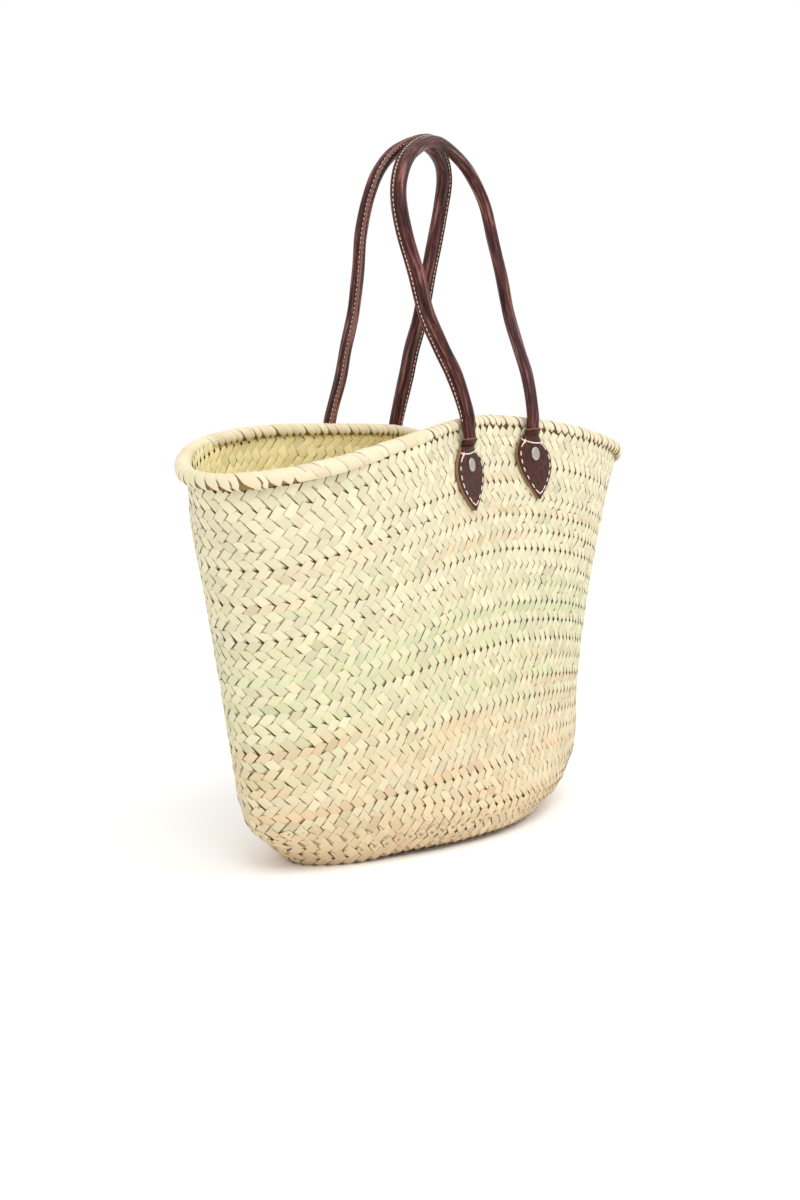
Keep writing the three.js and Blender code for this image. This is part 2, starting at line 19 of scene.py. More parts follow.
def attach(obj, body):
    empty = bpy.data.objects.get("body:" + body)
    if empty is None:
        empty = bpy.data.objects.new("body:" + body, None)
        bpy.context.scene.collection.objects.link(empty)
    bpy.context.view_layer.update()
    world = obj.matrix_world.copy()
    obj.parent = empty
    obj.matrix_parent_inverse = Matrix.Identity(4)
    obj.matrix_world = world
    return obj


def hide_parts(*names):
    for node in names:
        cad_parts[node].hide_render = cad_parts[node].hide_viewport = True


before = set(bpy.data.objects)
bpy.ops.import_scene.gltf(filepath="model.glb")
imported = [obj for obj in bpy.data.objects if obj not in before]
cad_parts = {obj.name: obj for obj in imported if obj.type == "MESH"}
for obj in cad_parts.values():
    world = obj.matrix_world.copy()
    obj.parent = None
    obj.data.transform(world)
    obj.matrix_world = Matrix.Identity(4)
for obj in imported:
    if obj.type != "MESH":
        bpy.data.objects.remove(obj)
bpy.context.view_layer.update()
SEED = 7
rng = np.random.default_rng(SEED)

# %% [markdown]
# ## The shape of the wall
# The real bag is one long braid of palm leaf sewn round and round from the base up. Empty, it
# slumps: both ends sink, the long sides are drawn in where the handles pull, and the base stays a
# rounded oval. It could be modelled by hand from a squeezed cylinder, or simulated as cloth. Here
# it is a formula instead, because thousands of strips must be laid on it exactly: it gives the
# place, the directions and the lengths anywhere on the wall. The sizes and the table are those of
# the frame's solids, in metres, so the dressed wall and the solid agree.

# %% Sizes of the wall
BODY_HEIGHT = 0.313
HALF_LENGTH = 0.276
HALF_DEPTH = 0.092
WALL = 0.0032
BASE_FLAT = 0.7
LEFT_DROP = 0.038
RIGHT_DROP = 0.043
BACK_DROP = 0.0145
LOBE_LIFT = 0.014
LOBE_ANGLE = 0.69
LOBE_SPREAD = 0.2
BASE_ROUND = 0.007
BASE_LIFT = 0.008
SAG_POWER = 1.86
SAG_POWER_TOP = 1.61
FRONT_PINCH = 0.030
BACK_PINCH = 0.050
PINCH_WIDTH = 0.46
PINCH_POWER = 2.6
CENTRE_X = -0.0019585  # middle of the whole bag, measured from the middle of the wall's sections
CENTRE_Y = -0.0008071

SECTION_COLUMNS = ("braid", "height", "left", "right", "front", "back", "corner_left", "corner_right")
SECTIONS = np.array([
    (0.0, 0.0, 0.63, 0.58, 0.89, 0.87, 1.7, 1.9),
    (0.05, 0.05, 0.7, 0.68, 0.97, 0.95, 1.7, 1.95),
    (0.14, 0.135, 0.81, 0.815, 0.91, 0.92, 1.75, 2),
    (0.32, 0.327, 0.864, 0.842, 0.86, 0.9, 1.9, 2.1),
    (0.5, 0.52, 0.892, 0.868, 0.88, 0.915, 2.1, 2.2),
    (0.7, 0.717, 0.928, 0.914, 0.92, 0.94, 2.3, 2.3),
    (0.88, 0.882, 0.967, 0.967, 0.967, 0.962, 2.45, 2.4),
    (1.0, 1.0, 1.02, 1.015, 1, 0.973, 2.1, 2.5),
])

print("wall of", len(SECTIONS), "levels,", 2 * HALF_LENGTH, "m long and", BODY_HEIGHT, "m high")


# %% A size of the oval between two levels of the table
def section_value(name, braid):
    share = SECTIONS[:, 0]
    values = SECTIONS[:, SECTION_COLUMNS.index(name)]
    last = len(share) - 1
    row = np.clip(np.searchsorted(share, braid, side="left") - 1, 0, last - 1)
    slopes = np.empty(last + 1)
    for i in range(last + 1):
        before = max(i - 1, 0)
        after = min(i + 1, last)
        slopes[i] = (values[after] - values[before]) / (share[after] - share[before])
    step = share[row + 1] - share[row]
    t = (braid - share[row]) / step
    ease = t * t * (3 - 2 * t)
    leave = t * (1 - t) ** 2 * step * slopes[row]
    arrive = t * t * (t - 1) * step * slopes[row + 1]
    return values[row] * (1 - ease) + values[row + 1] * ease + leave + arrive


def oval_power(value, power):
    return np.sign(value) * np.abs(value) ** (2 / power)


# %% A place on the outside of the wall
LOBE_FALL = 2.3  # how much of the slump already shows low on the wall
END_START = 0.6  # the left end begins at this share of the half length
END_RUN = 0.35


def wall_point(braid, angle):
    """A place from its share of the way up (braid) and its angle round the bag."""
    braid, angle = np.broadcast_arrays(np.asarray(braid, float), np.asarray(angle, float))
    c = np.cos(angle)
    s = np.sin(angle)
    left = c < 0
    front = s < 0
    corner = np.where(left, section_value("corner_left", braid), section_value("corner_right", braid))
    length = HALF_LENGTH * np.where(left, section_value("left", braid), section_value("right", braid))
    depth = HALF_DEPTH * np.where(front, section_value("front", braid), section_value("back", braid))
    along = oval_power(c, corner)
    across = oval_power(s, corner)
    near_middle = np.exp(-((along / PINCH_WIDTH) ** 2))
    pinch = np.where(front, FRONT_PINCH, BACK_PINCH) * near_middle * np.maximum(braid, 0) ** PINCH_POWER
    to_end = np.abs(along) ** (SAG_POWER + (SAG_POWER_TOP - SAG_POWER) * braid ** 4)
    end_drop = np.where(left, LEFT_DROP, RIGHT_DROP)
    drop = end_drop * to_end + BACK_DROP * (across + 1) / 2 * (1 - to_end)
    lobe = (np.mod(angle / np.pi + 2, 2) - LOBE_ANGLE) / LOBE_SPREAD
    lift = LOBE_LIFT * braid * np.exp(-lobe ** 2)
    left_end = np.clip((-along - END_START) / END_RUN, 0, 1)
    left_end = left_end * left_end * (3 - 2 * left_end)
    edge = BASE_ROUND * (1 - left_end * (1 - braid) ** 3)
    curl = edge + BASE_LIFT * np.maximum(along, 0) ** 2 * (1 - braid) ** 2
    fall = drop * braid * (LOBE_FALL - (LOBE_FALL - 1) * braid)
    height = BODY_HEIGHT * section_value("height", braid) - fall
    return np.stack([
        length * along - CENTRE_X,
        (depth - pinch) * across - CENTRE_Y,
        height + lift + curl,
    ], axis=-1)


# %% Directions on the wall
AXIS_STEP = 0.004  # how far apart the neighbours are that give a direction


def unit(vectors):
    return vectors / np.maximum(np.linalg.norm(vectors, axis=-1, keepdims=True), 1e-12)


def wall_axes(braid, angle):
    """Unit vectors round the bag, up the wall and out of it."""
    angle = np.asarray(angle)
    braid = np.minimum(braid, 1.0)
    low = np.maximum(braid - AXIS_STEP, 0)
    high = np.minimum(braid + AXIS_STEP, 1)
    rising = wall_point(high, angle) - wall_point(low, angle)
    turning = unit(wall_point(braid, angle + AXIS_STEP) - wall_point(braid, angle - AXIS_STEP))
    normal = unit(np.cross(turning, rising))
    return turning, np.cross(normal, turning), normal


# %% The base
SPINE_SHARE = 0.45  # the braid starts as a straight line this share of the base's length


def base_point(inward, angle):
    """A place under the basket: inward runs from 0 at the edge to 1 at the middle of the base."""
    edge = wall_point(0.0, angle)
    inward = np.asarray(inward, float)[..., None] if np.ndim(inward) else float(inward)
    spine = np.stack([edge[..., 0] * SPINE_SHARE, edge[..., 1] * 0, edge[..., 2] * 0], axis=-1)
    point = edge * (1 - inward) + spine * inward
    flat = np.clip(inward / (1 - BASE_FLAT), 0, 1)
    point[..., 2:] = edge[..., 2:] * (1 - flat) ** 2
    return point


print("mouth, front middle to back middle",
      np.round(np.linalg.norm(wall_point(1.0, 0.5 * math.pi) - wall_point(1.0, 1.5 * math.pi)), 4), "m")


# %% [markdown]
# ## Making pieces
# Every plain piece here is a skin over rows of points, like a knitted tube: the wall's core, the
# rim's core, the handles, the patches. One helper turns a grid of points into a mesh. It also
# stores an attribute on the points, so that a material can follow the surface as the real grain
# follows the leaf. Each piece prints its own size when it is made.

# %% A mesh from a grid of points
def new_object(name, mesh):
    piece = bpy.data.objects.new(name, mesh)
    bpy.context.scene.collection.objects.link(piece)
    return piece


def grid_mesh(name, points, wrap_rows=False, wrap_columns=False, attributes=None):
    """A mesh of quads through a grid of points, rows by columns, facing columns x rows."""
    rows, columns = points.shape[:2]
    index = np.arange(rows * columns).reshape(rows, columns)
    if wrap_rows:
        index = np.concatenate([index, index[:1]], axis=0)
    if wrap_columns:
        index = np.concatenate([index, index[:, :1]], axis=1)
    faces = np.stack([index[:-1, :-1], index[:-1, 1:], index[1:, 1:], index[1:, :-1]], axis=-1)
    mesh = bpy.data.meshes.new(name)
    mesh.from_pydata(points.reshape(-1, 3).tolist(), [], faces.reshape(-1, 4).tolist())
    for key, values in (attributes or {}).items():
        layer = mesh.attributes.new(key, "FLOAT_VECTOR", "POINT")
        layer.data.foreach_set("vector", np.ascontiguousarray(values, dtype=np.float32).ravel())
    mesh.polygons.foreach_set("use_smooth", np.ones(len(mesh.polygons), dtype=bool))
    mesh.update()
    return mesh


def say_made(piece):
    """Print a piece's faces and its box, in millimetres."""
    spots = np.empty(3 * len(piece.data.vertices), dtype=np.float32)
    piece.data.vertices.foreach_get("co", spots)
    spots = spots.reshape(-1, 3)
    box = np.round(1000 * (spots.max(axis=0) - spots.min(axis=0)), 1)
    print("made", piece.name, "with", len(piece.data.polygons), "faces,", box.tolist(), "mm")


# %% [markdown]
# ## Repeating a shape
# Strips of leaf, turns of the rim and stitches all repeat one small shape hundreds or thousands
# of times, each a little different. Copying objects by hand would be slow, and an Array modifier
# can't turn each copy by itself. Geometry Nodes can: a cloud of points carries a turn, a size and
# a pick for each copy, and Instance on Points reads them. The tree has one named input, the
# size of a usual copy, which the points' own sizes then vary. It ends in Realize Instances,
# because the export drops instances, and in Set Material.

# %% Turns for the copies
def quaternions(across, up, normal):
    """Turns that take X to across, Y to up and Z to normal, one per row, as w, x, y, z."""
    turns = np.empty((len(across), 4), dtype=np.float32)
    for i in range(len(across)):
        turns[i] = Matrix((across[i], up[i], normal[i])).transposed().to_quaternion()
    return turns


# %% The node tree that repeats a shape
def repeat_tree(name, shapes, material):
    """Geometry Nodes that put one of the shapes on every point, by its own turn, size and pick."""
    tree = bpy.data.node_groups.new(name, "GeometryNodeTree")
    tree.interface.new_socket("Geometry", in_out="INPUT", socket_type="NodeSocketGeometry")
    tree.interface.new_socket("Copy size", in_out="INPUT", socket_type="NodeSocketVector")
    tree.interface.new_socket("Geometry", in_out="OUTPUT", socket_type="NodeSocketGeometry")
    nodes = tree.nodes
    start = nodes.new("NodeGroupInput")
    finish = nodes.new("NodeGroupOutput")
    collection = nodes.new("GeometryNodeCollectionInfo")
    collection.inputs["Collection"].default_value = shapes
    collection.inputs["Separate Children"].default_value = True
    collection.inputs["Reset Children"].default_value = True
    put = nodes.new("GeometryNodeInstanceOnPoints")
    put.inputs["Pick Instance"].default_value = True
    realize = nodes.new("GeometryNodeRealizeInstances")
    paint = nodes.new("GeometryNodeSetMaterial")
    paint.inputs["Material"].default_value = material
    scaled = nodes.new("ShaderNodeVectorMath")
    scaled.operation = "MULTIPLY"
    sources = (("turn", "QUATERNION", put.inputs["Rotation"]), ("size", "FLOAT_VECTOR", scaled.inputs[0]),
               ("pick", "INT", put.inputs["Instance Index"]))
    for key, kind, socket in sources:
        reader = nodes.new("GeometryNodeInputNamedAttribute")
        reader.data_type = kind
        reader.inputs["Name"].default_value = key
        tree.links.new(reader.outputs["Attribute"], socket)
    tree.links.new(start.outputs["Copy size"], scaled.inputs[1])
    tree.links.new(scaled.outputs[0], put.inputs["Scale"])
    tree.links.new(start.outputs["Geometry"], put.inputs["Points"])
    tree.links.new(collection.outputs[0], put.inputs["Instance"])
    tree.links.new(put.outputs[0], realize.inputs[0])
    tree.links.new(realize.outputs[0], paint.inputs[0])
    tree.links.new(paint.outputs[0], finish.inputs[0])
    return tree


# %% One piece made of many copies
def repeat_shapes(name, meshes, usual_size, places, turns, sizes, picks, leaves, material):
    """Copies of the meshes; usual_size is one copy's size, and sizes are the copies' true ones."""
    shapes = bpy.data.collections.new(name + "_shapes")
    holders = []
    for number, mesh in enumerate(meshes):
        holder = bpy.data.objects.new("%s_%02d" % (name, number), mesh)
        shapes.objects.link(holder)
        holders.append(holder)
    cloud = bpy.data.meshes.new(name + "_points")
    cloud.from_pydata(np.asarray(places).tolist(), [], [])
    turn = cloud.attributes.new("turn", "QUATERNION", "POINT")
    turn.data.foreach_set("value", np.asarray(turns, dtype=np.float32).ravel())
    size = cloud.attributes.new("size", "FLOAT_VECTOR", "POINT")
    varied = np.asarray(sizes) / np.asarray(usual_size)
    size.data.foreach_set("vector", varied.astype(np.float32).ravel())
    pick = cloud.attributes.new("pick", "INT", "POINT")
    pick.data.foreach_set("value", np.asarray(picks, dtype=np.int32))
    leaf = cloud.attributes.new("leaf", "FLOAT_VECTOR", "POINT")
    leaf.data.foreach_set("vector", np.asarray(leaves, dtype=np.float32).ravel())
    piece = new_object(name, cloud)
    modifier = piece.modifiers.new("repeats", "NODES")
    modifier.node_group = repeat_tree(name + "_nodes", shapes, material)
    for socket in modifier.node_group.interface.items_tree:
        if socket.name == "Copy size":
            modifier[socket.identifier] = tuple(usual_size)
    graph = bpy.context.evaluated_depsgraph_get()
    made = bpy.data.meshes.new_from_object(piece.evaluated_get(graph))
    piece.modifiers.clear()
    piece.data = made
    made.name = name
    for key in ("turn", "size", "pick"):
        if key in made.attributes:
            made.attributes.remove(made.attributes[key])
    for holder in holders:
        bpy.data.objects.remove(holder)
    bpy.data.collections.remove(shapes)
    triangles = sum(len(polygon.vertices) - 2 for polygon in made.polygons)
    print("made", name, "with", len(places), "repeats and", triangles, "triangles")
    return piece


# %% [markdown]
# ## Materials
# No strip of dried palm leaf has the colour of the next: some are still green, some are tanned,
# and each has fine fibres along it. A thin dark line of painted shade runs along its edges and
# across its foot, where its edge turns under its neighbours. A painted picture would do, but nodes
# keep sharp at any distance and need no file. The "leaf" attribute carries how green, how tanned
# and how light a strip is, and "strip" runs across and along it.
# Leather is two noises stretched along the roll: wide creases and finer ones over them. Its colour is
# darkened in the hollows of the creases with painted shade and lightened along their tops with
# painted highlights, over the leather's own uneven tone.

# %% Small helpers for material nodes
def srgb(red, green, blue):
    return tuple((v / 12.92 if v <= 0.04045 else ((v + 0.055) / 1.055) ** 2.4)
                 for v in (red / 255, green / 255, blue / 255)) + (1.0,)


def start_material(name, roughness):
    material = bpy.data.materials.new(name)
    material.use_nodes = True
    tree = material.node_tree
    shader = tree.nodes["Principled BSDF"]
    shader.inputs["Roughness"].default_value = roughness
    return material, tree, shader


def add(tree, kind, **settings):
    node = tree.nodes.new(kind)
    for key, value in settings.items():
        setattr(node, key, value)
    return node


def mix_colour(tree, factor, first, second):
    node = add(tree, "ShaderNodeMix", data_type="RGBA")
    for socket, value in ((node.inputs[0], factor), (node.inputs[6], first), (node.inputs[7], second)):
        if isinstance(value, bpy.types.NodeSocket):
            tree.links.new(value, socket)
        else:
            socket.default_value = value
    return node.outputs[2]


def scaled_noise(tree, vector, scale, size, detail=3.0, roughness=0.5):
    """Noise over a stretched vector; scale stretches it by axis and size sets how coarse it is."""
    stretch = add(tree, "ShaderNodeVectorMath", operation="MULTIPLY")
    tree.links.new(vector, stretch.inputs[0])
    stretch.inputs[1].default_value = scale
    noise = add(tree, "ShaderNodeTexNoise")
    tree.links.new(stretch.outputs[0], noise.inputs["Vector"])
    noise.inputs["Scale"].default_value = size
    noise.inputs["Detail"].default_value = detail
    noise.inputs["Roughness"].default_value = roughness
    return noise.outputs["Fac"]


def ramp(tree, factor, low, high, dark=0.0, light=1.0):
    node = add(tree, "ShaderNodeMapRange")
    tree.links.new(factor, node.inputs["Value"])
    node.inputs["From Min"].default_value = low
    node.inputs["From Max"].default_value = high
    node.inputs["To Min"].default_value = dark
    node.inputs["To Max"].default_value = light
    return node.outputs["Result"]


# %% Palm leaf
def straw_material(name, cream, green, tan, streak, shade_line, shade_line_start=0.46):
    """Dried leaf; its line of painted shade along the edges begins at the given start, where half the
    strip's width is 0.5.
    """
    material, tree, shader = start_material(name, 0.62)
    leaf = add(tree, "ShaderNodeAttribute", attribute_name="leaf")
    strip = add(tree, "ShaderNodeAttribute", attribute_name="strip")
    parts = add(tree, "ShaderNodeSeparateXYZ")
    tree.links.new(leaf.outputs["Vector"], parts.inputs[0])
    place = add(tree, "ShaderNodeSeparateXYZ")
    tree.links.new(strip.outputs["Vector"], place.inputs[0])
    from_middle = add(tree, "ShaderNodeMath", operation="ABSOLUTE")
    tree.links.new(place.outputs["X"], from_middle.inputs[0])
    grain = add(tree, "ShaderNodeVectorMath", operation="MULTIPLY_ADD")
    tree.links.new(leaf.outputs["Vector"], grain.inputs[0])
    grain.inputs[1].default_value = (37.0, 53.0, 71.0)
    tree.links.new(strip.outputs["Vector"], grain.inputs[2])
    fibres = scaled_noise(tree, grain.outputs[0], (9.0, 0.8, 1.0), 1.0, 4.0, 0.6)
    blotch = scaled_noise(tree, grain.outputs[0], (0.9, 0.9, 1.0), 1.0, 2.0, 0.5)
    colour = mix_colour(tree, parts.outputs["X"], cream, green)
    colour = mix_colour(tree, parts.outputs["Y"], colour, tan)
    colour = mix_colour(tree, ramp(tree, blotch, 0.5, 0.75, 0.0, 0.35), colour, tan)
    colour = mix_colour(tree, ramp(tree, fibres, 0.55, 0.8, 0.0, 0.5), colour, streak)
    # painted shade: a dark line along both edges of each strip and turn, where it meets and turns under its
    # neighbour
    edge = ramp(tree, from_middle.outputs[0], shade_line_start, shade_line_start + 0.035, 0.0, 0.9)
    colour = mix_colour(tree, edge, colour, shade_line)
    # painted shade across the strip's foot, where it dives under the other row
    colour = mix_colour(tree, ramp(tree, place.outputs["Y"], 0.16, 0.28, 0.6, 0.0), colour, shade_line)
    shade = ramp(tree, parts.outputs["Z"], 0.0, 1.0, 0.7, 1.05)
    bright = add(tree, "ShaderNodeVectorMath", operation="SCALE")
    tree.links.new(colour, bright.inputs[0])
    tree.links.new(shade, bright.inputs["Scale"])
    tree.links.new(bright.outputs[0], shader.inputs["Base Color"])
    bump = add(tree, "ShaderNodeBump")
    bump.inputs["Strength"].default_value = 0.35
    bump.inputs["Distance"].default_value = 0.0003
    tree.links.new(fibres, bump.inputs["Height"])
    tree.links.new(bump.outputs[0], shader.inputs["Normal"])
    return material


# %% Creased leather
def leather_material(name, base, dark, light, roughness, stretch, gleam):
    """Creased leather, with painted shade in the hollows of the creases and painted highlights on their
    tops; stretch says how the creases run over the strip attribute.
    """
    material, tree, shader = start_material(name, roughness)
    shader.inputs["Specular IOR Level"].default_value = gleam
    strip = add(tree, "ShaderNodeAttribute", attribute_name="strip")
    creases = scaled_noise(tree, strip.outputs["Vector"], stretch, 1.0, 5.0, 0.62)
    fine = scaled_noise(tree, strip.outputs["Vector"], tuple(3.0 * v for v in stretch), 1.0, 3.0, 0.6)
    # painted shade in the crease hollows, then painted highlights on the tops of the wide and the fine
    # creases
    colour = mix_colour(tree, ramp(tree, creases, 0.38, 0.5), dark, base)
    colour = mix_colour(tree, ramp(tree, creases, 0.53, 0.66, 0.0, 0.8), colour, light)
    colour = mix_colour(tree, ramp(tree, fine, 0.6, 0.72, 0.0, 0.45), colour, light)
    tree.links.new(colour, shader.inputs["Base Color"])
    rise = mix_colour(tree, 0.3, creases, fine)
    bump = add(tree, "ShaderNodeBump")
    bump.inputs["Strength"].default_value = 0.7
    bump.inputs["Distance"].default_value = 0.0016
    tree.links.new(rise, bump.inputs["Height"])
    tree.links.new(bump.outputs[0], shader.inputs["Normal"])
    return material


# %% Plain finishes with a little unevenness
def plain_material(name, colour, roughness, metallic=0.0):
    material, tree, shader = start_material(name, roughness)
    noise = add(tree, "ShaderNodeTexNoise")
    place = add(tree, "ShaderNodeTexCoord")
    tree.links.new(place.outputs["Object"], noise.inputs["Vector"])
    noise.inputs["Scale"].default_value = 900.0
    darker = tuple(v * 0.78 for v in colour[:3]) + (1.0,)
    tree.links.new(mix_colour(tree, ramp(tree, noise.outputs["Fac"], 0.35, 0.65), darker, colour),
                   shader.inputs["Base Color"])
    shader.inputs["Metallic"].default_value = metallic
    return material


# %% The finishes of this bag
# the last colour of each palm leaf is its line of painted shade between strips and between turns
leaf_outside = straw_material("palm leaf", srgb(219, 211, 178), srgb(200, 205, 160),
                              srgb(216, 186, 148), srgb(202, 179, 132), srgb(96, 70, 34), 0.45)
# a lighter copy of the palm leaf: painted light, brightened for the inside of the bag where less light falls
leaf_inside_painted_light = straw_material("palm leaf inside, painted light", srgb(255, 246, 196), srgb(240, 236, 176),
                             srgb(250, 224, 164), srgb(240, 212, 150), srgb(160, 122, 66))
leaf_rim = straw_material("palm leaf winding", srgb(225, 213, 182), srgb(206, 204, 160),
                          srgb(220, 196, 156), srgb(204, 180, 134), srgb(92, 64, 32), 0.385)
leaf_shadow = plain_material("palm leaf in the gaps", srgb(100, 72, 34), 0.9)
# the real leaf of the bundle, darkened with painted shade where it shows between the turns
leaf_bundle_painted_shade = plain_material("palm leaf in the rim, painted shade", srgb(140, 110, 62), 0.9)
# for each leather: its own colour, then the painted shade of its creases, then their painted highlight
leather = leather_material("rolled leather", srgb(71, 32, 28), srgb(26, 11, 10),
                           srgb(156, 104, 97), 0.3, (12.0, 1.3, 1.0), 0.2)
patch_leather = leather_material("patch leather", srgb(66, 31, 24), srgb(50, 22, 17),
                                 srgb(84, 48, 39), 0.5, (12.0, 12.0, 12.0), 0.15)
raw_edge = plain_material("raw leather edge", srgb(146, 106, 72), 0.8)
worn_edge = plain_material("worn flange edge", srgb(134, 88, 75), 0.6)
thread = plain_material("waxed thread", srgb(240, 228, 206), 0.6)
nickel = plain_material("worn nickel", srgb(190, 182, 172), 0.38, 1.0)
print("finishes:", ", ".join(material.name for material in bpy.data.materials))


# %% [markdown]
# ## Strips of leaf
# In a plaited braid each strip shows as a slanted tile. Its outer end folds over the edge of the
# braid, and its inner end dives under the strips of the other row, so the two rows interlock.
# Bump on a smooth wall would look flat at the outline and in the gaps, so each strip is a small
# mesh of its own, 1 wide and 1 tall, with four shapes for each way it can lean.

# %% One strip
TILE_HEIGHT = 0.0073  # half a braid
TILE_RISE = 0.0009  # how far a strip stands out of the wall
TILE_SLANT = 0.7  # sideways run of a strip over its height, share of its width
TILE_BIAS = 0.6  # its ends are cut square to the strip, so that the rows interlock
ROW_START = math.radians(232)  # the rows are in step here, on the wall that faces the camera


def tile_mesh(name, slant, fold, lift, columns, rows):
    """One strip, 1 wide and 1 tall; slant -1 or 1, fold cuts its outer corner, lift raises it."""
    across = {3: (-0.5, -0.4, 0.4, 0.5), 2: (-0.5, 0.0, 0.5)}[columns]
    along = {5: (0.0, 0.14, 0.5, 0.84, 0.94, 1.0), 4: (0.0, 0.16, 0.5, 0.88, 1.0)}[rows]
    points = np.empty((rows + 1, columns + 1, 3))
    strip = np.empty((rows + 1, columns + 1, 3))
    for i, b in enumerate(along):
        for j, a in enumerate(across):
            foot = -TILE_BIAS * a * slant - 0.14
            head = 1.04 - TILE_BIAS * a * slant
            outer = max(b - 0.7, 0) / 0.3
            up = foot + b * (head - foot) - max(-a * slant * 2, 0) * fold * outer ** 2
            side = a + slant * TILE_SLANT * (up - 0.5)
            arch = min(b / 0.2, 1.0) ** 1.5
            edge = 1 - 0.42 * (2 * abs(a)) ** 6
            end = 1 - 0.5 * outer ** 3 + lift * outer
            points[i, j] = (side, up - 0.5, arch * edge * end)
            strip[i, j] = (a, b * 1.5, 0.0)
    return grid_mesh(name, points, attributes={"strip": strip})


# %% Eight shapes of strip
TILE_SHAPES = ((0.0, 0.0), (0.06, 0.05), (0.16, 0.0), (0.34, 0.25))  # fold and lift
SHAPE_SHARES = (0.5, 0.3, 0.14, 0.06)


def tile_set(prefix, columns, rows):
    """Four shapes for each way a strip can lean."""
    meshes = []
    for slant in (-1, 1):
        for fold, lift in TILE_SHAPES:
            meshes.append(tile_mesh("%s_%d" % (prefix, len(meshes)), slant, fold, lift, columns, rows))
    return meshes


# %% [markdown]
# ## Laying the weave
# Two rows of strips make one braid, and 21.5 braids climb the wall. The rows are laid level, one
# after the other, on both faces of the wall and under the base, and each row's strips sit half a
# strip on from the last. Greenness and tan wander slowly along a row, as they do in a braid made
# from one bunch of leaf after another, and the foot of the bag has gone browner.

# %% Evenly spaced places along a row
BRAIDS = 21.5  # braids between the edge of the base and the rim
BASE_ROWS = 11
TILE_PITCH = 0.0102  # along a braid, between strips that lie the same way


def level_row(place, count, phase):
    """Evenly spaced angles round one level of the bag, with the level's own length."""
    turn = np.linspace(0, 2 * np.pi, 1441) + ROW_START
    points = place(turn)
    length = np.concatenate([[0], np.cumsum(np.linalg.norm(np.diff(points, axis=0), axis=1))])
    if count is None:
        count = int(round(length[-1] / TILE_PITCH))
    wanted = (np.arange(count) + phase) % count / count * length[-1]
    return np.interp(wanted, length, turn), count, length[-1]


def smooth_random(count, knots):
    """A closed random curve of count values between 0 and 1."""
    values = rng.random(knots)
    place = np.arange(count) * knots / count
    low = np.floor(place).astype(int)
    t = place - low
    t = t * t * (3 - 2 * t)
    return values[low % knots] * (1 - t) + values[(low + 1) % knots] * t


# %% How green, tanned and light a strip is
GREEN_HEIGHT = 0.45  # the greenest leaf lies about here, share of the height
GREEN_SPREAD = 0.3


def leaf_look(green, tan, height, green_jitter, tan_jitter):
    band = math.exp(-((height - GREEN_HEIGHT) / GREEN_SPREAD) ** 2)
    greenness = 0.9 * green + 0.5 * band - 0.3 + 0.12 * green_jitter
    tanned = 0.9 * tan - 0.25 + 0.85 * (1 - height) ** 2.4 + 0.09 * tan_jitter
    light = 0.74 + 0.16 * rng.normal()
    return min(max(greenness, 0), 1), min(max(tanned, 0), 0.9), min(max(light, 0.1), 1)


# %% All the strips on one face of the wall
TILE_OVERLAP = 1.09
SHORTEST_TILE = 0.85 * TILE_HEIGHT
TALLEST_TILE = 1.7 * TILE_HEIGHT
TURN_SCATTER = 0.035
PLACE_SCATTER = 0.0003
RISE_SCATTER = 0.15
PHASE_SCATTER = 0.12
BASE_EDGE_TILT = 1.4  # the strips at the base's edge face this much more down than out


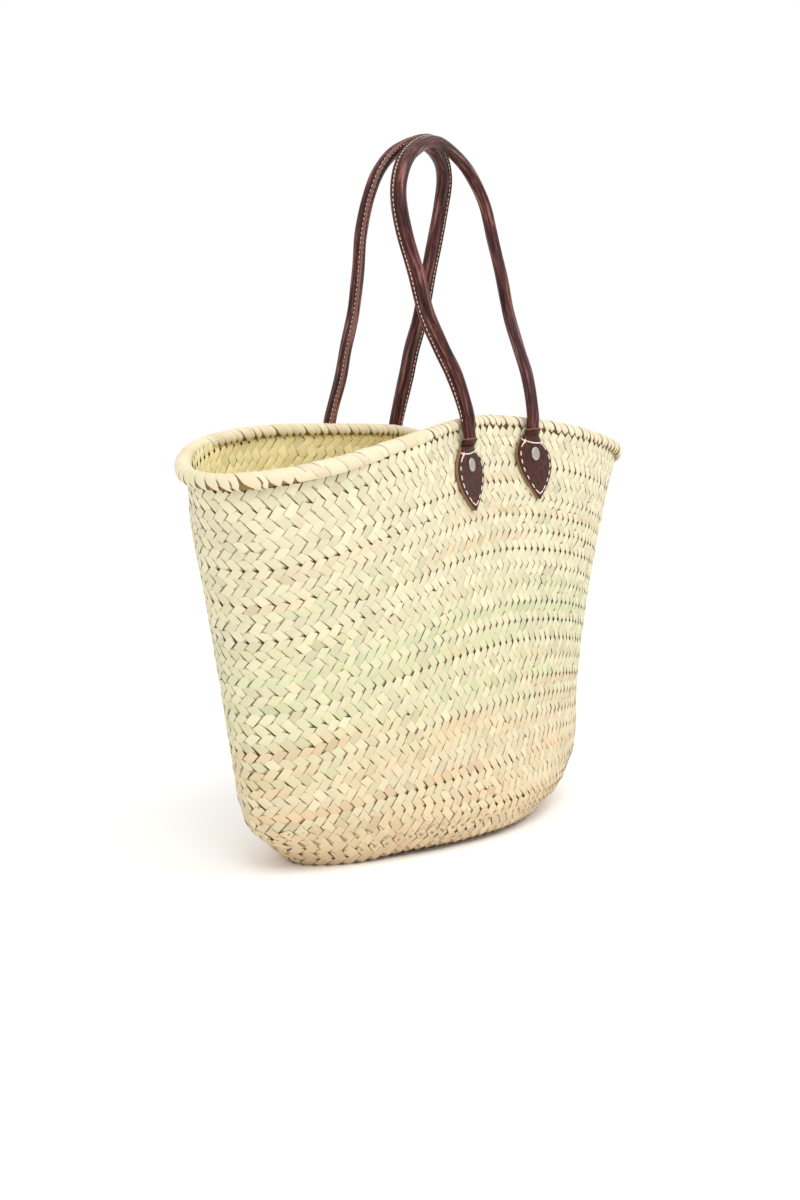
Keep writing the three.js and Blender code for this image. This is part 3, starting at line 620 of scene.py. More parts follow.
def weave(name, outside, columns, rows, material):
    """All the strips on one side of the wall and of the base."""
    places, ups, acrosses, normals, sizes, picks, leaves = [], [], [], [], [], [], []
    half_rows = int(BRAIDS * 2)
    count = None
    phase = 0.0
    shift = 0.0 if outside else -WALL
    side = 1.0 if outside else -1.0
    for row in range(-BASE_ROWS, half_rows + (0 if outside else 1)):
        upper = row % 2 == 0
        level = (row + 0.5) / half_rows
        if row >= 0:
            def place(turn, rows=0.0, level=level):
                return wall_point(np.full_like(turn, level + rows / half_rows), turn)
        else:
            inward = (-row - 0.5) / BASE_ROWS
            def place(turn, rows=0.0, inward=inward):
                return base_point(np.full_like(turn, inward - rows / BASE_ROWS), turn)
        if not upper:
            count = None
            phase = PHASE_SCATTER * rng.normal()
        angles, count, length = level_row(place, count, phase + (0.5 if upper else 0.0))
        if row >= 0:
            across, up, normal = wall_axes(np.full_like(angles, level), angles)
        else:
            step = 0.01
            across = unit(place(angles + step) - place(angles - step))
            if row > -2:
                down = np.full(len(across), -BASE_EDGE_TILT)
                normal = unit(np.stack([across[:, 1], -across[:, 0], down], axis=-1))
            else:
                normal = np.tile([0.0, 0.0, -1.0], (len(across), 1))
            normal = unit(normal - across * np.sum(normal * across, axis=1, keepdims=True))
            up = np.cross(normal, across)
        points = place(angles) + normal * shift
        apart = np.linalg.norm(place(angles, 0.5) - place(angles, -0.5), axis=1)
        tall = np.clip(apart, SHORTEST_TILE, TALLEST_TILE) * TILE_OVERLAP
        green = smooth_random(count, 9)
        tone = smooth_random(count, 14)
        row_green = rng.random()
        row_tan = rng.random()
        height = level if row >= 0 else 0.0
        jitter = rng.normal(0, 1, (count, 5))
        for i in range(count):
            out = normal[i] * side
            run = across[i] * side
            tilt = TURN_SCATTER * jitter[i, 0]
            turned = run * math.cos(tilt) + up[i] * math.sin(tilt)
            rise = np.cross(out, turned)
            places.append(points[i] + up[i] * PLACE_SCATTER * jitter[i, 1])
            acrosses.append(turned)
            ups.append(rise)
            normals.append(out)
            pitch = length / count
            sizes.append((pitch, tall[i], TILE_RISE * (1 + RISE_SCATTER * jitter[i, 2])))
            slant = 1 if upper else 0
            picks.append(slant * 4 + int(rng.choice(4, p=SHAPE_SHARES)))
            leaves.append(leaf_look(green[i] * row_green, tone[i] * row_tan, height,
                                    jitter[i, 3], jitter[i, 4]))
    turns = quaternions(np.array(acrosses), np.array(ups), np.array(normals))
    usual_size = (TILE_PITCH, TILE_HEIGHT, TILE_RISE)
    meshes = tile_set(name, columns, rows)
    return repeat_shapes(name, meshes, usual_size, places, turns, sizes, picks, leaves, material)


# %% [markdown]
# ## The wall's core
# Between the strips the real wall shows more leaf, in shade. A closed shell just under the strips
# stands for it: it fills the gaps with brown and lets no light through. It replaces the plain
# solid, which has the same shape.

# %% The shell under the strips
CORE_LIFT = -0.0002
BASE_RINGS = 14


def wall_core():
    """The wall between the strips: what shows dark in the gaps."""
    levels = np.linspace(0, 1, 61)
    turn = np.linspace(0, 2 * np.pi, 241)[:-1]
    lift = CORE_LIFT
    outer = []
    inner = []
    for inward in np.linspace(0.98, 0.04, BASE_RINGS):
        ring = base_point(np.full_like(turn, inward), turn)
        outer.append(ring - np.array([0, 0, lift]))
        inner.append(ring + np.array([0, 0, WALL + lift]))
    for level in levels:
        spots = np.full_like(turn, level)
        normal = wall_axes(spots, turn)[2]
        ring = wall_point(spots, turn)
        outer.append(ring + normal * lift)
        inner.append(ring - normal * (WALL + lift))
    into_roll = np.array([0, 0, 0.002])
    outer.append(outer[-1] + into_roll)
    inner.append(inner[-1] + into_roll)
    rings = np.array(outer + inner[::-1])
    mesh = grid_mesh("wall_core", rings, wrap_columns=True)
    mesh.materials.append(leaf_shadow)
    return new_object("wall_core", mesh)


# %% The wall and its weave
core = wall_core()
say_made(core)
outside = weave("weave_outside", True, 3, 5, leaf_outside)
inside = weave("weave_inside", False, 3, 4, leaf_inside_painted_light)


# %% [markdown]
# ## The rim
# The mouth ends in a bundle of leaf wound with wide strips, each lying slanted over the roll and
# pulled in narrow where it passes through the wall below. A twisted texture on a tube would miss
# the narrow feet and the steps between turns, so each turn is one open helix of leaf, and they
# are repeated along the rim's own line. At the left front the turns are wide and smooth.

# %% The line and the thickness of the rim
RIM_RADIUS = 0.0069
RIM_SQUEEZE = 0.002
RIM_SQUEEZE_WIDTH = 0.9
RIM_INSET = 0.002
RIM_FLARE_LEFT = 0.0072
RIM_FLARE_RIGHT = 0.0047
RIM_FLARE_START = 0.55
RIM_FLARE_RUN = 0.3
RIM_LIFT = -0.0004  # the windings are pulled down onto the wall's edge


def rim_radius(points):
    narrow = np.exp(-((points[..., 0] / HALF_LENGTH / RIM_SQUEEZE_WIDTH) ** 2))
    return RIM_RADIUS - RIM_SQUEEZE * narrow


def rim_centre(turn):
    edge = wall_point(np.ones_like(turn), turn)
    normal = wall_axes(np.ones_like(turn), turn)[2]
    level = unit(normal * np.array([1, 1, 0]))
    middle = edge - normal * WALL / 2
    middle[:, 2] = edge[:, 2] + rim_radius(middle) + RIM_LIFT
    x = middle[:, 0] + CENTRE_X
    run = np.clip((np.abs(x) / HALF_LENGTH - RIM_FLARE_START) / RIM_FLARE_RUN, 0, 1)
    flare = np.where(x < 0, RIM_FLARE_LEFT, RIM_FLARE_RIGHT) * run * run * (3 - 2 * run)
    return middle + level * (flare - RIM_INSET)[:, None]


def rim_axes(turn):
    step = 0.004
    along = unit(rim_centre(turn + step) - rim_centre(turn - step))
    side = unit(np.cross(along, np.array([0.0, 0.0, 1.0])))
    return along, side, np.cross(side, along)


# %% The bundle inside the rim
WINDING_DEPTH = 0.0008  # the bundle lies this far under the windings


def rim_roll():
    turn = np.linspace(0, 2 * np.pi, 361)[:-1]
    centre = rim_centre(turn)
    along, side, top = rim_axes(turn)
    radius = rim_radius(centre) - WINDING_DEPTH
    rings = []
    for around in np.linspace(0, 2 * np.pi, 17)[:-1]:
        rings.append(centre + (top * math.cos(around) + side * math.sin(around)) * radius[:, None])
    mesh = grid_mesh("rim_core", np.array(rings).transpose(1, 0, 2), wrap_rows=True, wrap_columns=True)
    # the bundle's leaf is darkened: painted shade where it shows between the turns
    mesh.materials.append(leaf_bundle_painted_shade)
    return new_object("rim_core", mesh)


# %% One turn of leaf
def winding_mesh(name, slant, foot, narrow, arch, edge, columns=6, steps=24):
    """One turn of leaf round a roll of radius 1 along X, leading on by slant widths. It narrows to
    foot at the bottom, from the height narrow on, arch rounds it across and edge scales where its line of
    painted shade falls."""
    points = np.empty((steps + 1, columns + 1, 3))
    strip = np.empty((steps + 1, columns + 1, 3))
    for i in range(steps + 1):
        around = math.pi * (2 * i / steps - 1)
        low = max((1 - math.cos(around)) / 2 - narrow, 0) / (1 - narrow)
        width = 1 - (1 - foot) * low ** 1.2
        for j in range(columns + 1):
            a = j / columns - 0.5
            lead = -slant * around / math.pi
            crown = 1.0 - arch * (2 * abs(a)) ** 3 - 0.05 * a
            points[i, j] = (a * width + lead, crown * math.sin(around), crown * math.cos(around))
            strip[i, j] = (a * edge, 3.0 + around * 0.8, 0.0)
    return grid_mesh(name, points, attributes={"strip": strip})


# %% All the turns round the rim
SMOOTH_START = 1.13 * math.pi  # the smooth turns, by their angle round the mouth
SMOOTH_END = 1.35 * math.pi
SMOOTH_WIDTH = 0.0125
TURN_WIDTH = 0.0082
WIDTH_SCATTER = 0.13
SMOOTH_OVERLAP = 1.28
TURN_OVERLAP = 1.16
END_OVERLAP = 0.3  # more at the two ends, where the outer side of the bend opens the turns
# slant, foot, narrow, arch and edge of two smooth and two plain turns
TURN_SHAPES = ((0.85, 0.9, 0.85, 0.02, 0.83), (0.7, 0.85, 0.85, 0.03, 0.84),
               (0.9, 0.16, 0.58, 0.14, 1.0), (0.75, 0.12, 0.58, 0.17, 1.0))


def rim_windings():
    turn = np.linspace(0, 2 * np.pi, 1441)
    track = rim_centre(turn)
    length = np.concatenate([[0], np.cumsum(np.linalg.norm(np.diff(track, axis=0), axis=1))])
    reach = 0.0
    spots = []
    while reach < length[-1] - 0.004:
        angle = np.interp(reach, length, turn)
        smooth = SMOOTH_START < angle < SMOOTH_END
        wide = (SMOOTH_WIDTH if smooth else TURN_WIDTH) * (1 + WIDTH_SCATTER * rng.normal())
        spots.append((reach, wide, smooth))
        reach += wide
    stretch = length[-1] / reach
    angles = np.interp(np.array([s + w / 2 for s, w, _ in spots]) * stretch, length, turn)
    centre = rim_centre(angles)
    along, side, top = rim_axes(angles)
    radius = rim_radius(centre)
    sizes, picks, leaves = [], [], []
    for i in range(len(spots)):
        wide = spots[i][1] * stretch
        smooth = spots[i][2]
        swell = radius[i] * (1.01 + 0.02 * rng.normal())
        spread = END_OVERLAP * max(abs(centre[i, 0]) / HALF_LENGTH - 0.75, 0) / 0.25
        sizes.append((wide * ((SMOOTH_OVERLAP if smooth else TURN_OVERLAP) + spread), swell, swell))
        picks.append(int(rng.integers(0, 2)) + (0 if smooth else 2))
        leaves.append((max(0.2 * rng.normal(), 0), min(max(0.08 + 0.16 * rng.normal(), 0), 0.6),
                       min(max(0.78 + 0.1 * rng.normal(), 0.3), 1)))
    turns = quaternions(along, -side, top)
    usual_size = (TURN_WIDTH, RIM_RADIUS, RIM_RADIUS)
    meshes = [winding_mesh("winding_%d" % k, *shape) for k, shape in enumerate(TURN_SHAPES)]
    return repeat_shapes("rim_windings", meshes, usual_size, centre, turns, sizes, picks, leaves, leaf_rim)


# %% The rim and its windings
rim = rim_roll()
say_made(rim)
windings = rim_windings()

# %% [markdown]
# ## Handles
# Each handle is one strip of leather rolled into a tube. Its two edges stand out as a flange,
# sewn through with waxed thread, and its flattened ends lie under the patches. A curve with a
# bevel could make the round part, but not the flange or the flat ends, so rings of points are
# swept along the route of the frame's solid, with their own width, thickness and flange.

# %% Sizes of the handles, patches, keepers and rivets
GAP = 0.0003
HANDLE_RISE = 0.2065
ROUTE_FOOT = 0.0155
HANDLE_RADIUS = 0.0049
HANDLE_MEETING = -0.004
FLANGE_WIDTH = 0.0032
FLANGE_THICKNESS = 0.0026
STRAND_SPACING = 0.106
HANDLE_SHIFT = 0.006
PATCH_LEAN = 0.12  # the patches hang askew
LEAN_CENTRE = 0.028
PATCH_LENGTH = 0.050
PATCH_WIDTH = 0.048
PATCH_THICKNESS = 0.002
PATCH_STANDOFF = 0.0008
PATCH_NECK = 0.5
PATCH_WIDEST = 0.32
TONGUE_LENGTH = 0.026
TONGUE_HALF_WIDTH = 0.0076
TONGUE_HALF_THICKNESS = 0.0013
KEEPER_DROP = {-1: 0.006, 1: 0.0004}  # left and right
KEEPER_HEIGHT = 0.005
KEEPER_THICKNESS = 0.0014
RIVET_DROP = 0.0125
RIVET_HEAD_RADIUS = 0.0055
RIVET_HEAD_HEIGHT = 0.0013
RIVET_SHANK_RADIUS = 0.002
BURR_RADIUS = 0.0045
BURR_HEIGHT = 0.001

# Levels below the top edge of a keeper
KEEPER_FOOT = KEEPER_HEIGHT
PATCH_TOP = KEEPER_FOOT + 5 * GAP
TONGUE_TIP = PATCH_TOP + TONGUE_LENGTH
KEEPER_STANDOFF = KEEPER_THICKNESS + 4.2 * GAP
APEX_SIDESTEP = (HANDLE_RADIUS + FLANGE_WIDTH + FLANGE_THICKNESS / 2) * math.sqrt(0.5) + GAP / 2

# rise, spread of the front and back handle, lean of the front and back handle
HANDLE_ROUTE = (
    (0.12, 1.07, 0.95, 0.16, 0.16),
    (0.22, 1.14, 0.96, 0.31, 0.25),
    (0.35, 1.22, 0.98, 0.49, 0.40),
    (0.50, 1.26, 1.01, 0.62, 0.51),
    (0.65, 1.30, 1.07, 0.77, 0.61),
    (0.78, 1.26, 1.05, 0.87, 0.73),
    (0.88, 1.03, 0.94, 0.94, 0.85),
    (0.95, 0.67, 0.66, 0.98, 0.94),
    (1.00, 0.00, 0.00, 1.00, 1.00),
)
# drop below the keeper's top edge, half width, half thickness, distance off the wall
END_SECTIONS = (
    (TONGUE_TIP, 0.78 * TONGUE_HALF_WIDTH, 0.6 * TONGUE_HALF_THICKNESS, GAP),
    (TONGUE_TIP - 0.005, TONGUE_HALF_WIDTH, TONGUE_HALF_THICKNESS, GAP),
    (PATCH_TOP + 0.005, TONGUE_HALF_WIDTH, TONGUE_HALF_THICKNESS, GAP),
    (PATCH_TOP + 0.0015, 0.95 * TONGUE_HALF_WIDTH, 1.35 * TONGUE_HALF_THICKNESS, 2 * GAP),
    (KEEPER_FOOT, 1.3 * HANDLE_RADIUS, 0.5 * HANDLE_RADIUS, KEEPER_STANDOFF),
    (0.0, HANDLE_RADIUS, 0.94 * HANDLE_RADIUS, KEEPER_STANDOFF),
)


# %% Places on the long walls
def wall_place(side, x, drop):
    """A place on a long wall: side -1 front, 1 back; x along the bag; drop below the wall's edge."""
    middle = 1.5 * math.pi if side < 0 else 0.5 * math.pi
    braid = 1 - drop * 0.2 / np.linalg.norm(wall_point(1.0, middle) - wall_point(0.8, middle))
    length = HALF_LENGTH * section_value("left" if x < 0 else "right", braid)
    corner = section_value("corner_left" if x < 0 else "corner_right", braid)
    turn = math.acos(math.copysign(abs(x / length) ** (corner / 2), x))
    angle = 2 * math.pi - turn if side < 0 else turn
    normal = wall_axes(braid, angle)[2]
    across = unit(np.array([1.0, 0, 0]) - normal * normal[0])
    return wall_point(braid, angle), normal, across


def end_section(drop):
    table = np.array(END_SECTIONS)[::-1]
    return [np.interp(drop, table[:, 0], table[:, k]) for k in (1, 2, 3)]


def foot_x(strand, below):
    return HANDLE_SHIFT + strand * STRAND_SPACING / 2 + PATCH_LEAN * (below - LEAN_CENTRE)


def foot_place(side, strand, drop, offset=0.0):
    """A place under a handle's end: drop below its keeper's top edge, offset from its middle."""
    below = KEEPER_DROP[strand] + drop
    return wall_place(side, foot_x(strand, below) + offset, below)


def handle_end(side, strand):
    stations = []
    for drop, width, thickness, standoff in END_SECTIONS:
        point, normal, across = foot_place(side, strand, drop)
        stations.append((point + normal * (standoff + thickness), -strand * across, normal,
                         width, thickness, 0.05))
    return stations


# %% The route of a handle
def handle_route(side):
    def half(strand):
        point, normal, across = wall_place(side, foot_x(strand, 0.0), 0.0)
        outward = np.array([0.0, side, 0.0])
        level = unit(normal * np.array([1, 1, 0]))
        rim = float(rim_radius(point + np.array([CENTRE_X, 0, 0])))
        reach = rim - RIM_INSET - WALL / 2 + 3 * GAP + HANDLE_RADIUS
        over = point + level * reach + np.array([0, 0, 0.9 * rim])
        crown = point + level * reach + np.array([0, 0, 2 * rim + 0.0007])
        rows = [(over, level, 0.25), (crown, outward, 0.5)]
        foot_y = crown[1]
        top_y = HANDLE_MEETING + side * APEX_SIDESTEP - CENTRE_Y
        for rise, spread_front, spread_back, lean_front, lean_back in HANDLE_ROUTE:
            spread = spread_front if side < 0 else spread_back
            lean = lean_front if side < 0 else lean_back
            x = HANDLE_SHIFT + strand * spread * STRAND_SPACING / 2 - CENTRE_X
            z = BODY_HEIGHT + BASE_ROUND + ROUTE_FOOT + HANDLE_RISE * rise
            rows.append((np.array([x, foot_y + (top_y - foot_y) * lean, z]), outward, 1.0))
        return rows
    return half(-1) + half(1)[::-1][1:]


def smooth_route(points, steps):
    """A smooth curve through the points, with steps points for each stretch between two of them."""
    points = np.array(points)
    padded = np.concatenate([[2 * points[0] - points[1]], points, [2 * points[-1] - points[-2]]])
    curve = []
    for i in range(len(points) - 1):
        p0, p1, p2, p3 = padded[i:i + 4]
        gaps = [max(np.linalg.norm(b - a) ** 0.5, 1e-6) for a, b in ((p0, p1), (p1, p2), (p2, p3))]
        leave = ((p1 - p0) / gaps[0] - (p2 - p0) / (gaps[0] + gaps[1]) + (p2 - p1) / gaps[1]) * gaps[1]
        arrive = ((p2 - p1) / gaps[1] - (p3 - p1) / (gaps[1] + gaps[2]) + (p3 - p2) / gaps[2]) * gaps[1]
        for t in np.arange(steps) / steps:
            ease = t * t * (3 - 2 * t)
            bend = leave * t * (1 - t) ** 2 + arrive * t * t * (t - 1)
            curve.append(p1 * (1 - ease) + p2 * ease + bend)
    curve.append(points[-1])
    return np.array(curve)


ROUTE_STEPS = 10


def handle_stations(side):
    """Centre, inward and outward directions, half sizes and flange share at every station."""
    rows = handle_end(side, -1)
    for centre, outward, flange in handle_route(side):
        rows.append((centre, None, outward, HANDLE_RADIUS, HANDLE_RADIUS, flange))
    rows += handle_end(side, 1)[::-1]
    steps = ROUTE_STEPS
    curve = smooth_route([row[0] for row in rows], steps)
    tangents = unit(np.gradient(curve, axis=0))
    where = np.arange(len(curve)) / steps
    known = np.arange(len(rows))
    outward = np.stack([np.interp(where, known, [row[2][k] for row in rows]) for k in range(3)], axis=1)
    outward = unit(outward - tangents * np.sum(outward * tangents, axis=1, keepdims=True))
    inward = np.cross(tangents, outward) if side < 0 else np.cross(outward, tangents)
    sizes = [np.interp(where, known, [row[k] for row in rows]) for k in (3, 4, 5)]
    length = np.concatenate([[0], np.cumsum(np.linalg.norm(np.diff(curve, axis=0), axis=1))])
    return curve, inward, outward, sizes, length


# %% A rolled handle with its flange
FLANGE_ANGLE = 1.25 * math.pi
ROUND_POINTS = 22
CREASE_DEPTH = 0.00022
FLANGE_PROFILE = ((0.35, 0.86), (0.8, 0.8), (1.0, 0.72))  # reach and thickness, shares
FLANGE_GROOVE = 0.9  # the two layers part at the edge, down to this share of the reach
GRAIN_PER_METRE = 20


def handle_piece(name, side):
    curve, inward, outward, (width, thickness, flange), length = handle_stations(side)
    root = math.asin(FLANGE_THICKNESS / 2 / HANDLE_RADIUS)
    rings = []
    marks = []
    away = -unit(inward + outward) * FLANGE_WIDTH
    turns = np.linspace(FLANGE_ANGLE + root, FLANGE_ANGLE + 2 * math.pi - root, ROUND_POINTS)
    for i in range(len(curve)):
        ring = []
        mark = []
        for turn in turns:
            crease = CREASE_DEPTH * math.sin(9 * turn + 60 * length[i]) * math.sin(3 * turn - 90 * length[i])
            ring.append(curve[i] + inward[i] * (width[i] + crease) * math.cos(turn)
                        + outward[i] * (thickness[i] + crease) * math.sin(turn))
            mark.append((turn / 6.3, length[i] * GRAIN_PER_METRE, 0.0))
        first = ring[0]
        last = ring[-1]
        middle = (first + last) / 2
        tip = away[i] * flange[i]
        half = (first - last) / 2
        for reach, thick in FLANGE_PROFILE:
            ring.append(middle + tip * reach - half * thick)
            mark.append((1.0 + reach, length[i] * GRAIN_PER_METRE, 0.0))
        ring.append(middle + tip * FLANGE_GROOVE)
        mark.append((2.2, length[i] * GRAIN_PER_METRE, 0.0))
        for reach, thick in FLANGE_PROFILE[::-1]:
            ring.append(middle + tip * reach + half * thick)
            mark.append((-reach, length[i] * GRAIN_PER_METRE, 0.0))
        rings.append(ring)
        marks.append(mark)
    rings = np.array(rings)
    marks = np.array(marks)
    if side < 0:
        rings = rings[:, ::-1]
        marks = marks[:, ::-1]
    mesh = grid_mesh(name, rings, wrap_columns=True, attributes={"strip": marks})
    mesh.materials.append(leather)
    mesh.materials.append(worn_edge)
    count = rings.shape[1]
    for number, polygon in enumerate(mesh.polygons):
        column = number % count
        if column in ((ROUND_POINTS + 2, ROUND_POINTS + 3) if side > 0 else (2, 3)):
            polygon.material_index = 1
    return new_object(name, mesh)


# %% [markdown]
# ## Stitches
# The thread shows as short raised dashes with a gap between them. A dotted line in the material
# would lie flat, so each stitch is a small six-sided thread pulled in at both ends, and Geometry
# Nodes repeat it from hole to hole.

# %% One stitch, and many
FLANGE_STITCH = 0.0025
THREAD_WIDTH = 0.001


def stitch_mesh(name):
    """A thread 1 long, 1 wide and 1 high, pulled in at both ends."""
    rings = []
    for x, r in ((-0.5, 0.3), (-0.42, 0.8), (-0.2, 1.0), (0.2, 1.0), (0.42, 0.8), (0.5, 0.3)):
        rings.append([(x, 0.5 * r * math.cos(t), 0.5 * r * math.sin(t) - 0.25 * (1 - r))
                      for t in np.linspace(0, 2 * math.pi, 7)[:-1]])
    return grid_mesh(name, np.array(rings), wrap_columns=True)


def stitches(name, spans):
    """Threads from one point to another; a span is start, end, outward direction and width."""
    places, turns, sizes = [], [], []
    along, side, out = [], [], []
    for start, end, outward, wide in spans:
        run = end - start
        long = np.linalg.norm(run)
        run = run / long
        lift = unit(outward - run * np.dot(outward, run))
        places.append((start + end) / 2)
        along.append(run)
        side.append(np.cross(lift, run))
        out.append(lift)
        sizes.append((long, wide, wide))
    turns = quaternions(np.array(along), np.array(side), np.array(out))
    leaves = np.zeros((len(places), 3))
    picks = [0] * len(places)
    meshes = [stitch_mesh(name + "_thread")]
    usual_size = (FLANGE_STITCH, THREAD_WIDTH, THREAD_WIDTH)
    return repeat_shapes(name, meshes, usual_size, places, turns, sizes, picks, leaves, thread)


# %% The stitches along a flange
STITCH_PITCH = 0.0036
FLANGE_THREAD = 0.0006
STITCH_START = 0.02  # from the end of the strip


def flange_stitches(side):
    curve, inward, outward, (width, thickness, flange), length = handle_stations(side)
    spans = []
    reach = STITCH_START
    root = FLANGE_THICKNESS / 2
    while reach < length[-1] - STITCH_START:
        ends = []
        for place in (reach, reach + FLANGE_STITCH):
            centre = np.array([np.interp(place, length, curve[:, k]) for k in range(3)])
            inner = unit(np.array([np.interp(place, length, inward[:, k]) for k in range(3)]))
            outer = unit(np.array([np.interp(place, length, outward[:, k]) for k in range(3)]))
            share = np.interp(place, length, flange)
            away = -unit(inner + outer)
            beside = unit(inner - outer)
            ends.append((centre + away * (HANDLE_RADIUS * 0.96 + FLANGE_WIDTH * 0.45 * share), beside))
        if np.interp(reach, length, flange) > 0.3:
            for sign in (-1, 1):
                offset = sign * root * 0.86
                spans.append((ends[0][0] + ends[0][1] * offset, ends[1][0] + ends[1][1] * offset,
                              ends[0][1] * sign, FLANGE_THREAD))
        reach += STITCH_PITCH * (1 + 0.05 * rng.normal())
    return spans


# %% [markdown]
# ## Patches, keepers and rivets
# A leaf of leather covers each flattened end. It lies close on the wall at its edge and domes over
# the handle's end, and its cut edge stays raw and lighter. A flat plate with Solidify would float
# off the bent wall, so every point is placed at its own distance off it. The edge faces have their
# own material and are flat shaded, which keeps the cut sharp.

# %% The form of a patch
PATCH_EDGE = 0.0042  # its two layers stand this far off the wall at the edge


def patch_half_width(share):
    if share < PATCH_WIDEST:
        ease = math.sin(math.pi / 2 * share / PATCH_WIDEST)
        return PATCH_WIDTH / 2 * (PATCH_NECK + (1 - PATCH_NECK) * ease)
    to_tip = min((share - PATCH_WIDEST) / (1 - PATCH_WIDEST), 1.0)
    return PATCH_WIDTH / 2 * math.cos(math.pi / 2 * to_tip)


def patch_underside(drop, from_middle, half_width):
    past_tip = max(drop - TONGUE_TIP - 0.005, 0)
    width, thickness, standoff = end_section(min(drop, TONGUE_TIP))
    over = standoff + 2 * thickness + GAP
    high = PATCH_STANDOFF + (over - PATCH_STANDOFF) * max(1 - past_tip / 0.008, 0)
    shoulder = min(width + 0.001, 0.8 * half_width)
    t = min(max((from_middle - shoulder) / (half_width - shoulder), 0), 1)
    return high + (PATCH_STANDOFF - high) * t * t * (3 - 2 * t)


def patch_spot(side, strand, offset, share, lift):
    """A place on a patch: offset from its middle line, share of its length, lift off its top face."""
    drop = PATCH_TOP + PATCH_LENGTH * share
    half_width = max(patch_half_width(share), 0.002)
    point, normal, across = foot_place(side, strand, drop, offset)
    middle = max(patch_underside(drop, 0.0, half_width) + PATCH_THICKNESS, PATCH_EDGE)
    crown = 1 - min(abs(offset) / half_width, 1.0) ** 2
    return point + normal * (PATCH_EDGE + (middle - PATCH_EDGE) * crown + lift), normal


# %% A patch with its raw edge
PATCH_EDGE_RINGS = ((1.0, -0.0009), (1.0, -0.0024), (0.96, -0.0027))  # share of the width, and lift


def patch_piece(name, side, strand):
    rows, columns = 30, 16
    edges = PATCH_EDGE_RINGS + tuple((-out, lift) for out, lift in PATCH_EDGE_RINGS[::-1])
    rings = []
    marks = []
    for i in range(rows + 1):
        share = -0.03 + 1.015 * i / rows
        half_width = patch_half_width(share)
        ring = []
        mark = []
        for j in range(columns + 1):
            a = 2 * j / columns - 1
            offset = half_width * math.sin(a * math.pi / 2)
            lift = -0.0004 * abs(math.sin(a * math.pi / 2)) ** 12
            ring.append(patch_spot(side, strand, offset, share, lift)[0])
            mark.append((offset * GRAIN_PER_METRE, share, 0.0))
        for out, lift in edges:
            ring.append(patch_spot(side, strand, half_width * out, share, lift)[0])
            mark.append((half_width * out * GRAIN_PER_METRE, share, 1.0))
        rings.append(ring)
        marks.append(mark)
    first = np.mean(rings[0], axis=0)
    last = np.mean(rings[-1], axis=0)
    rings = [[tuple(first)] * len(ring)] + rings + [[tuple(last)] * len(ring)]
    marks = [marks[0]] + marks + [marks[-1]]
    rings = np.array(rings)
    marks = np.array(marks)
    if side < 0:
        rings = rings[:, ::-1]
        marks = marks[:, ::-1]
    mesh = grid_mesh(name, rings, wrap_columns=True, attributes={"strip": marks})
    mesh.materials.append(patch_leather)
    mesh.materials.append(raw_edge)
    count = rings.shape[1]
    for number, polygon in enumerate(mesh.polygons):
        row, column = divmod(number, count)
        corners = [marks[(row + r) % len(marks), (column + c) % count, 2]
                   for r in (0, 1) for c in (0, 1)]
        if max(corners) > 0 or row == 0 or row == rows + 1:
            polygon.material_index = 1
            polygon.use_smooth = False
    return new_object(name, mesh)


# %% The stitches of a patch
STITCH_INSET = 0.0036
NECK_THREAD = 0.0012


def patch_stitches(side, strand):
    """Dashes along both edges, a V at the tip and a long stitch across the neck."""
    inset = STITCH_INSET
    spans = []

    def spot(offset, share):
        return patch_spot(side, strand, offset, share, 0.0002)

    def span(first, second, wide=THREAD_WIDTH):
        start, normal = spot(*first)
        end, other = spot(*second)
        spans.append((start, end, normal, wide))

    for edge in (-1, 1):
        share = 0.10
        while share < 0.82:
            long = 0.075 * (1 + 0.12 * rng.normal())
            ends = [(edge * (patch_half_width(s) - inset), s) for s in (share, share + long)]
            span(*ends)
            share += 0.128
    for edge in (-1, 1):
        span((edge * (patch_half_width(0.83) - inset), 0.83), (0.0, 0.9))
    neck = patch_half_width(0.05) - inset
    steps = np.linspace(-1, 1, 7) * (neck + 0.0015)
    for first, second in zip(steps[:-1], steps[1:]):
        bow = [0.085 - 0.03 * (place / steps[-1]) ** 2 for place in (first, second)]
        span((first, bow[0]), (second * 1.02, bow[1]), NECK_THREAD)
    for edge in (-1, 1):
        span((edge * (neck - 0.001), 0.035), (edge * (neck + 0.0035), 0.13))
        span((edge * (neck + 0.0035), 0.03), (edge * (neck - 0.001), 0.10))
    return spans


# %% A keeper round the handle
KEEPER_BEVEL = 0.0007
AROUND = 32  # points round a keeper or a rivet
CUT_FACES = (2, 3, 5)  # the rows of a keeper's faces that are its cut edges


def keeper_piece(name, side, strand):
    inside_gap = 3 * GAP
    profile = ((KEEPER_FOOT, 0.4), (KEEPER_FOOT - KEEPER_BEVEL, 0.65), (KEEPER_BEVEL, 0.65),
               (0.0, 0.4), (0.0, 0.0), (KEEPER_FOOT, 0.0))
    rings = []
    for drop, out in profile:
        point, normal, across = foot_place(side, strand, drop)
        width, thickness, standoff = end_section(drop)
        centre = point + normal * (standoff + thickness)
        extra = inside_gap + out * KEEPER_THICKNESS
        wide = across * (width + extra)
        high = normal * (thickness + extra)
        rings.append([centre + wide * math.cos(t) + high * math.sin(t)
                      for t in np.linspace(0, 2 * math.pi, AROUND + 1)[:-1]])
    rings = np.array(rings)
    if side < 0:
        rings = rings[:, ::-1]
    mesh = grid_mesh(name, rings, wrap_rows=True, wrap_columns=True,
                     attributes={"strip": rings.reshape(-1, 3) * GRAIN_PER_METRE})
    mesh.materials.append(patch_leather)
    mesh.materials.append(raw_edge)
    for number, polygon in enumerate(mesh.polygons):
        if number // AROUND in CUT_FACES:
            polygon.material_index = 1
            polygon.use_smooth = False
    return new_object(name, mesh)


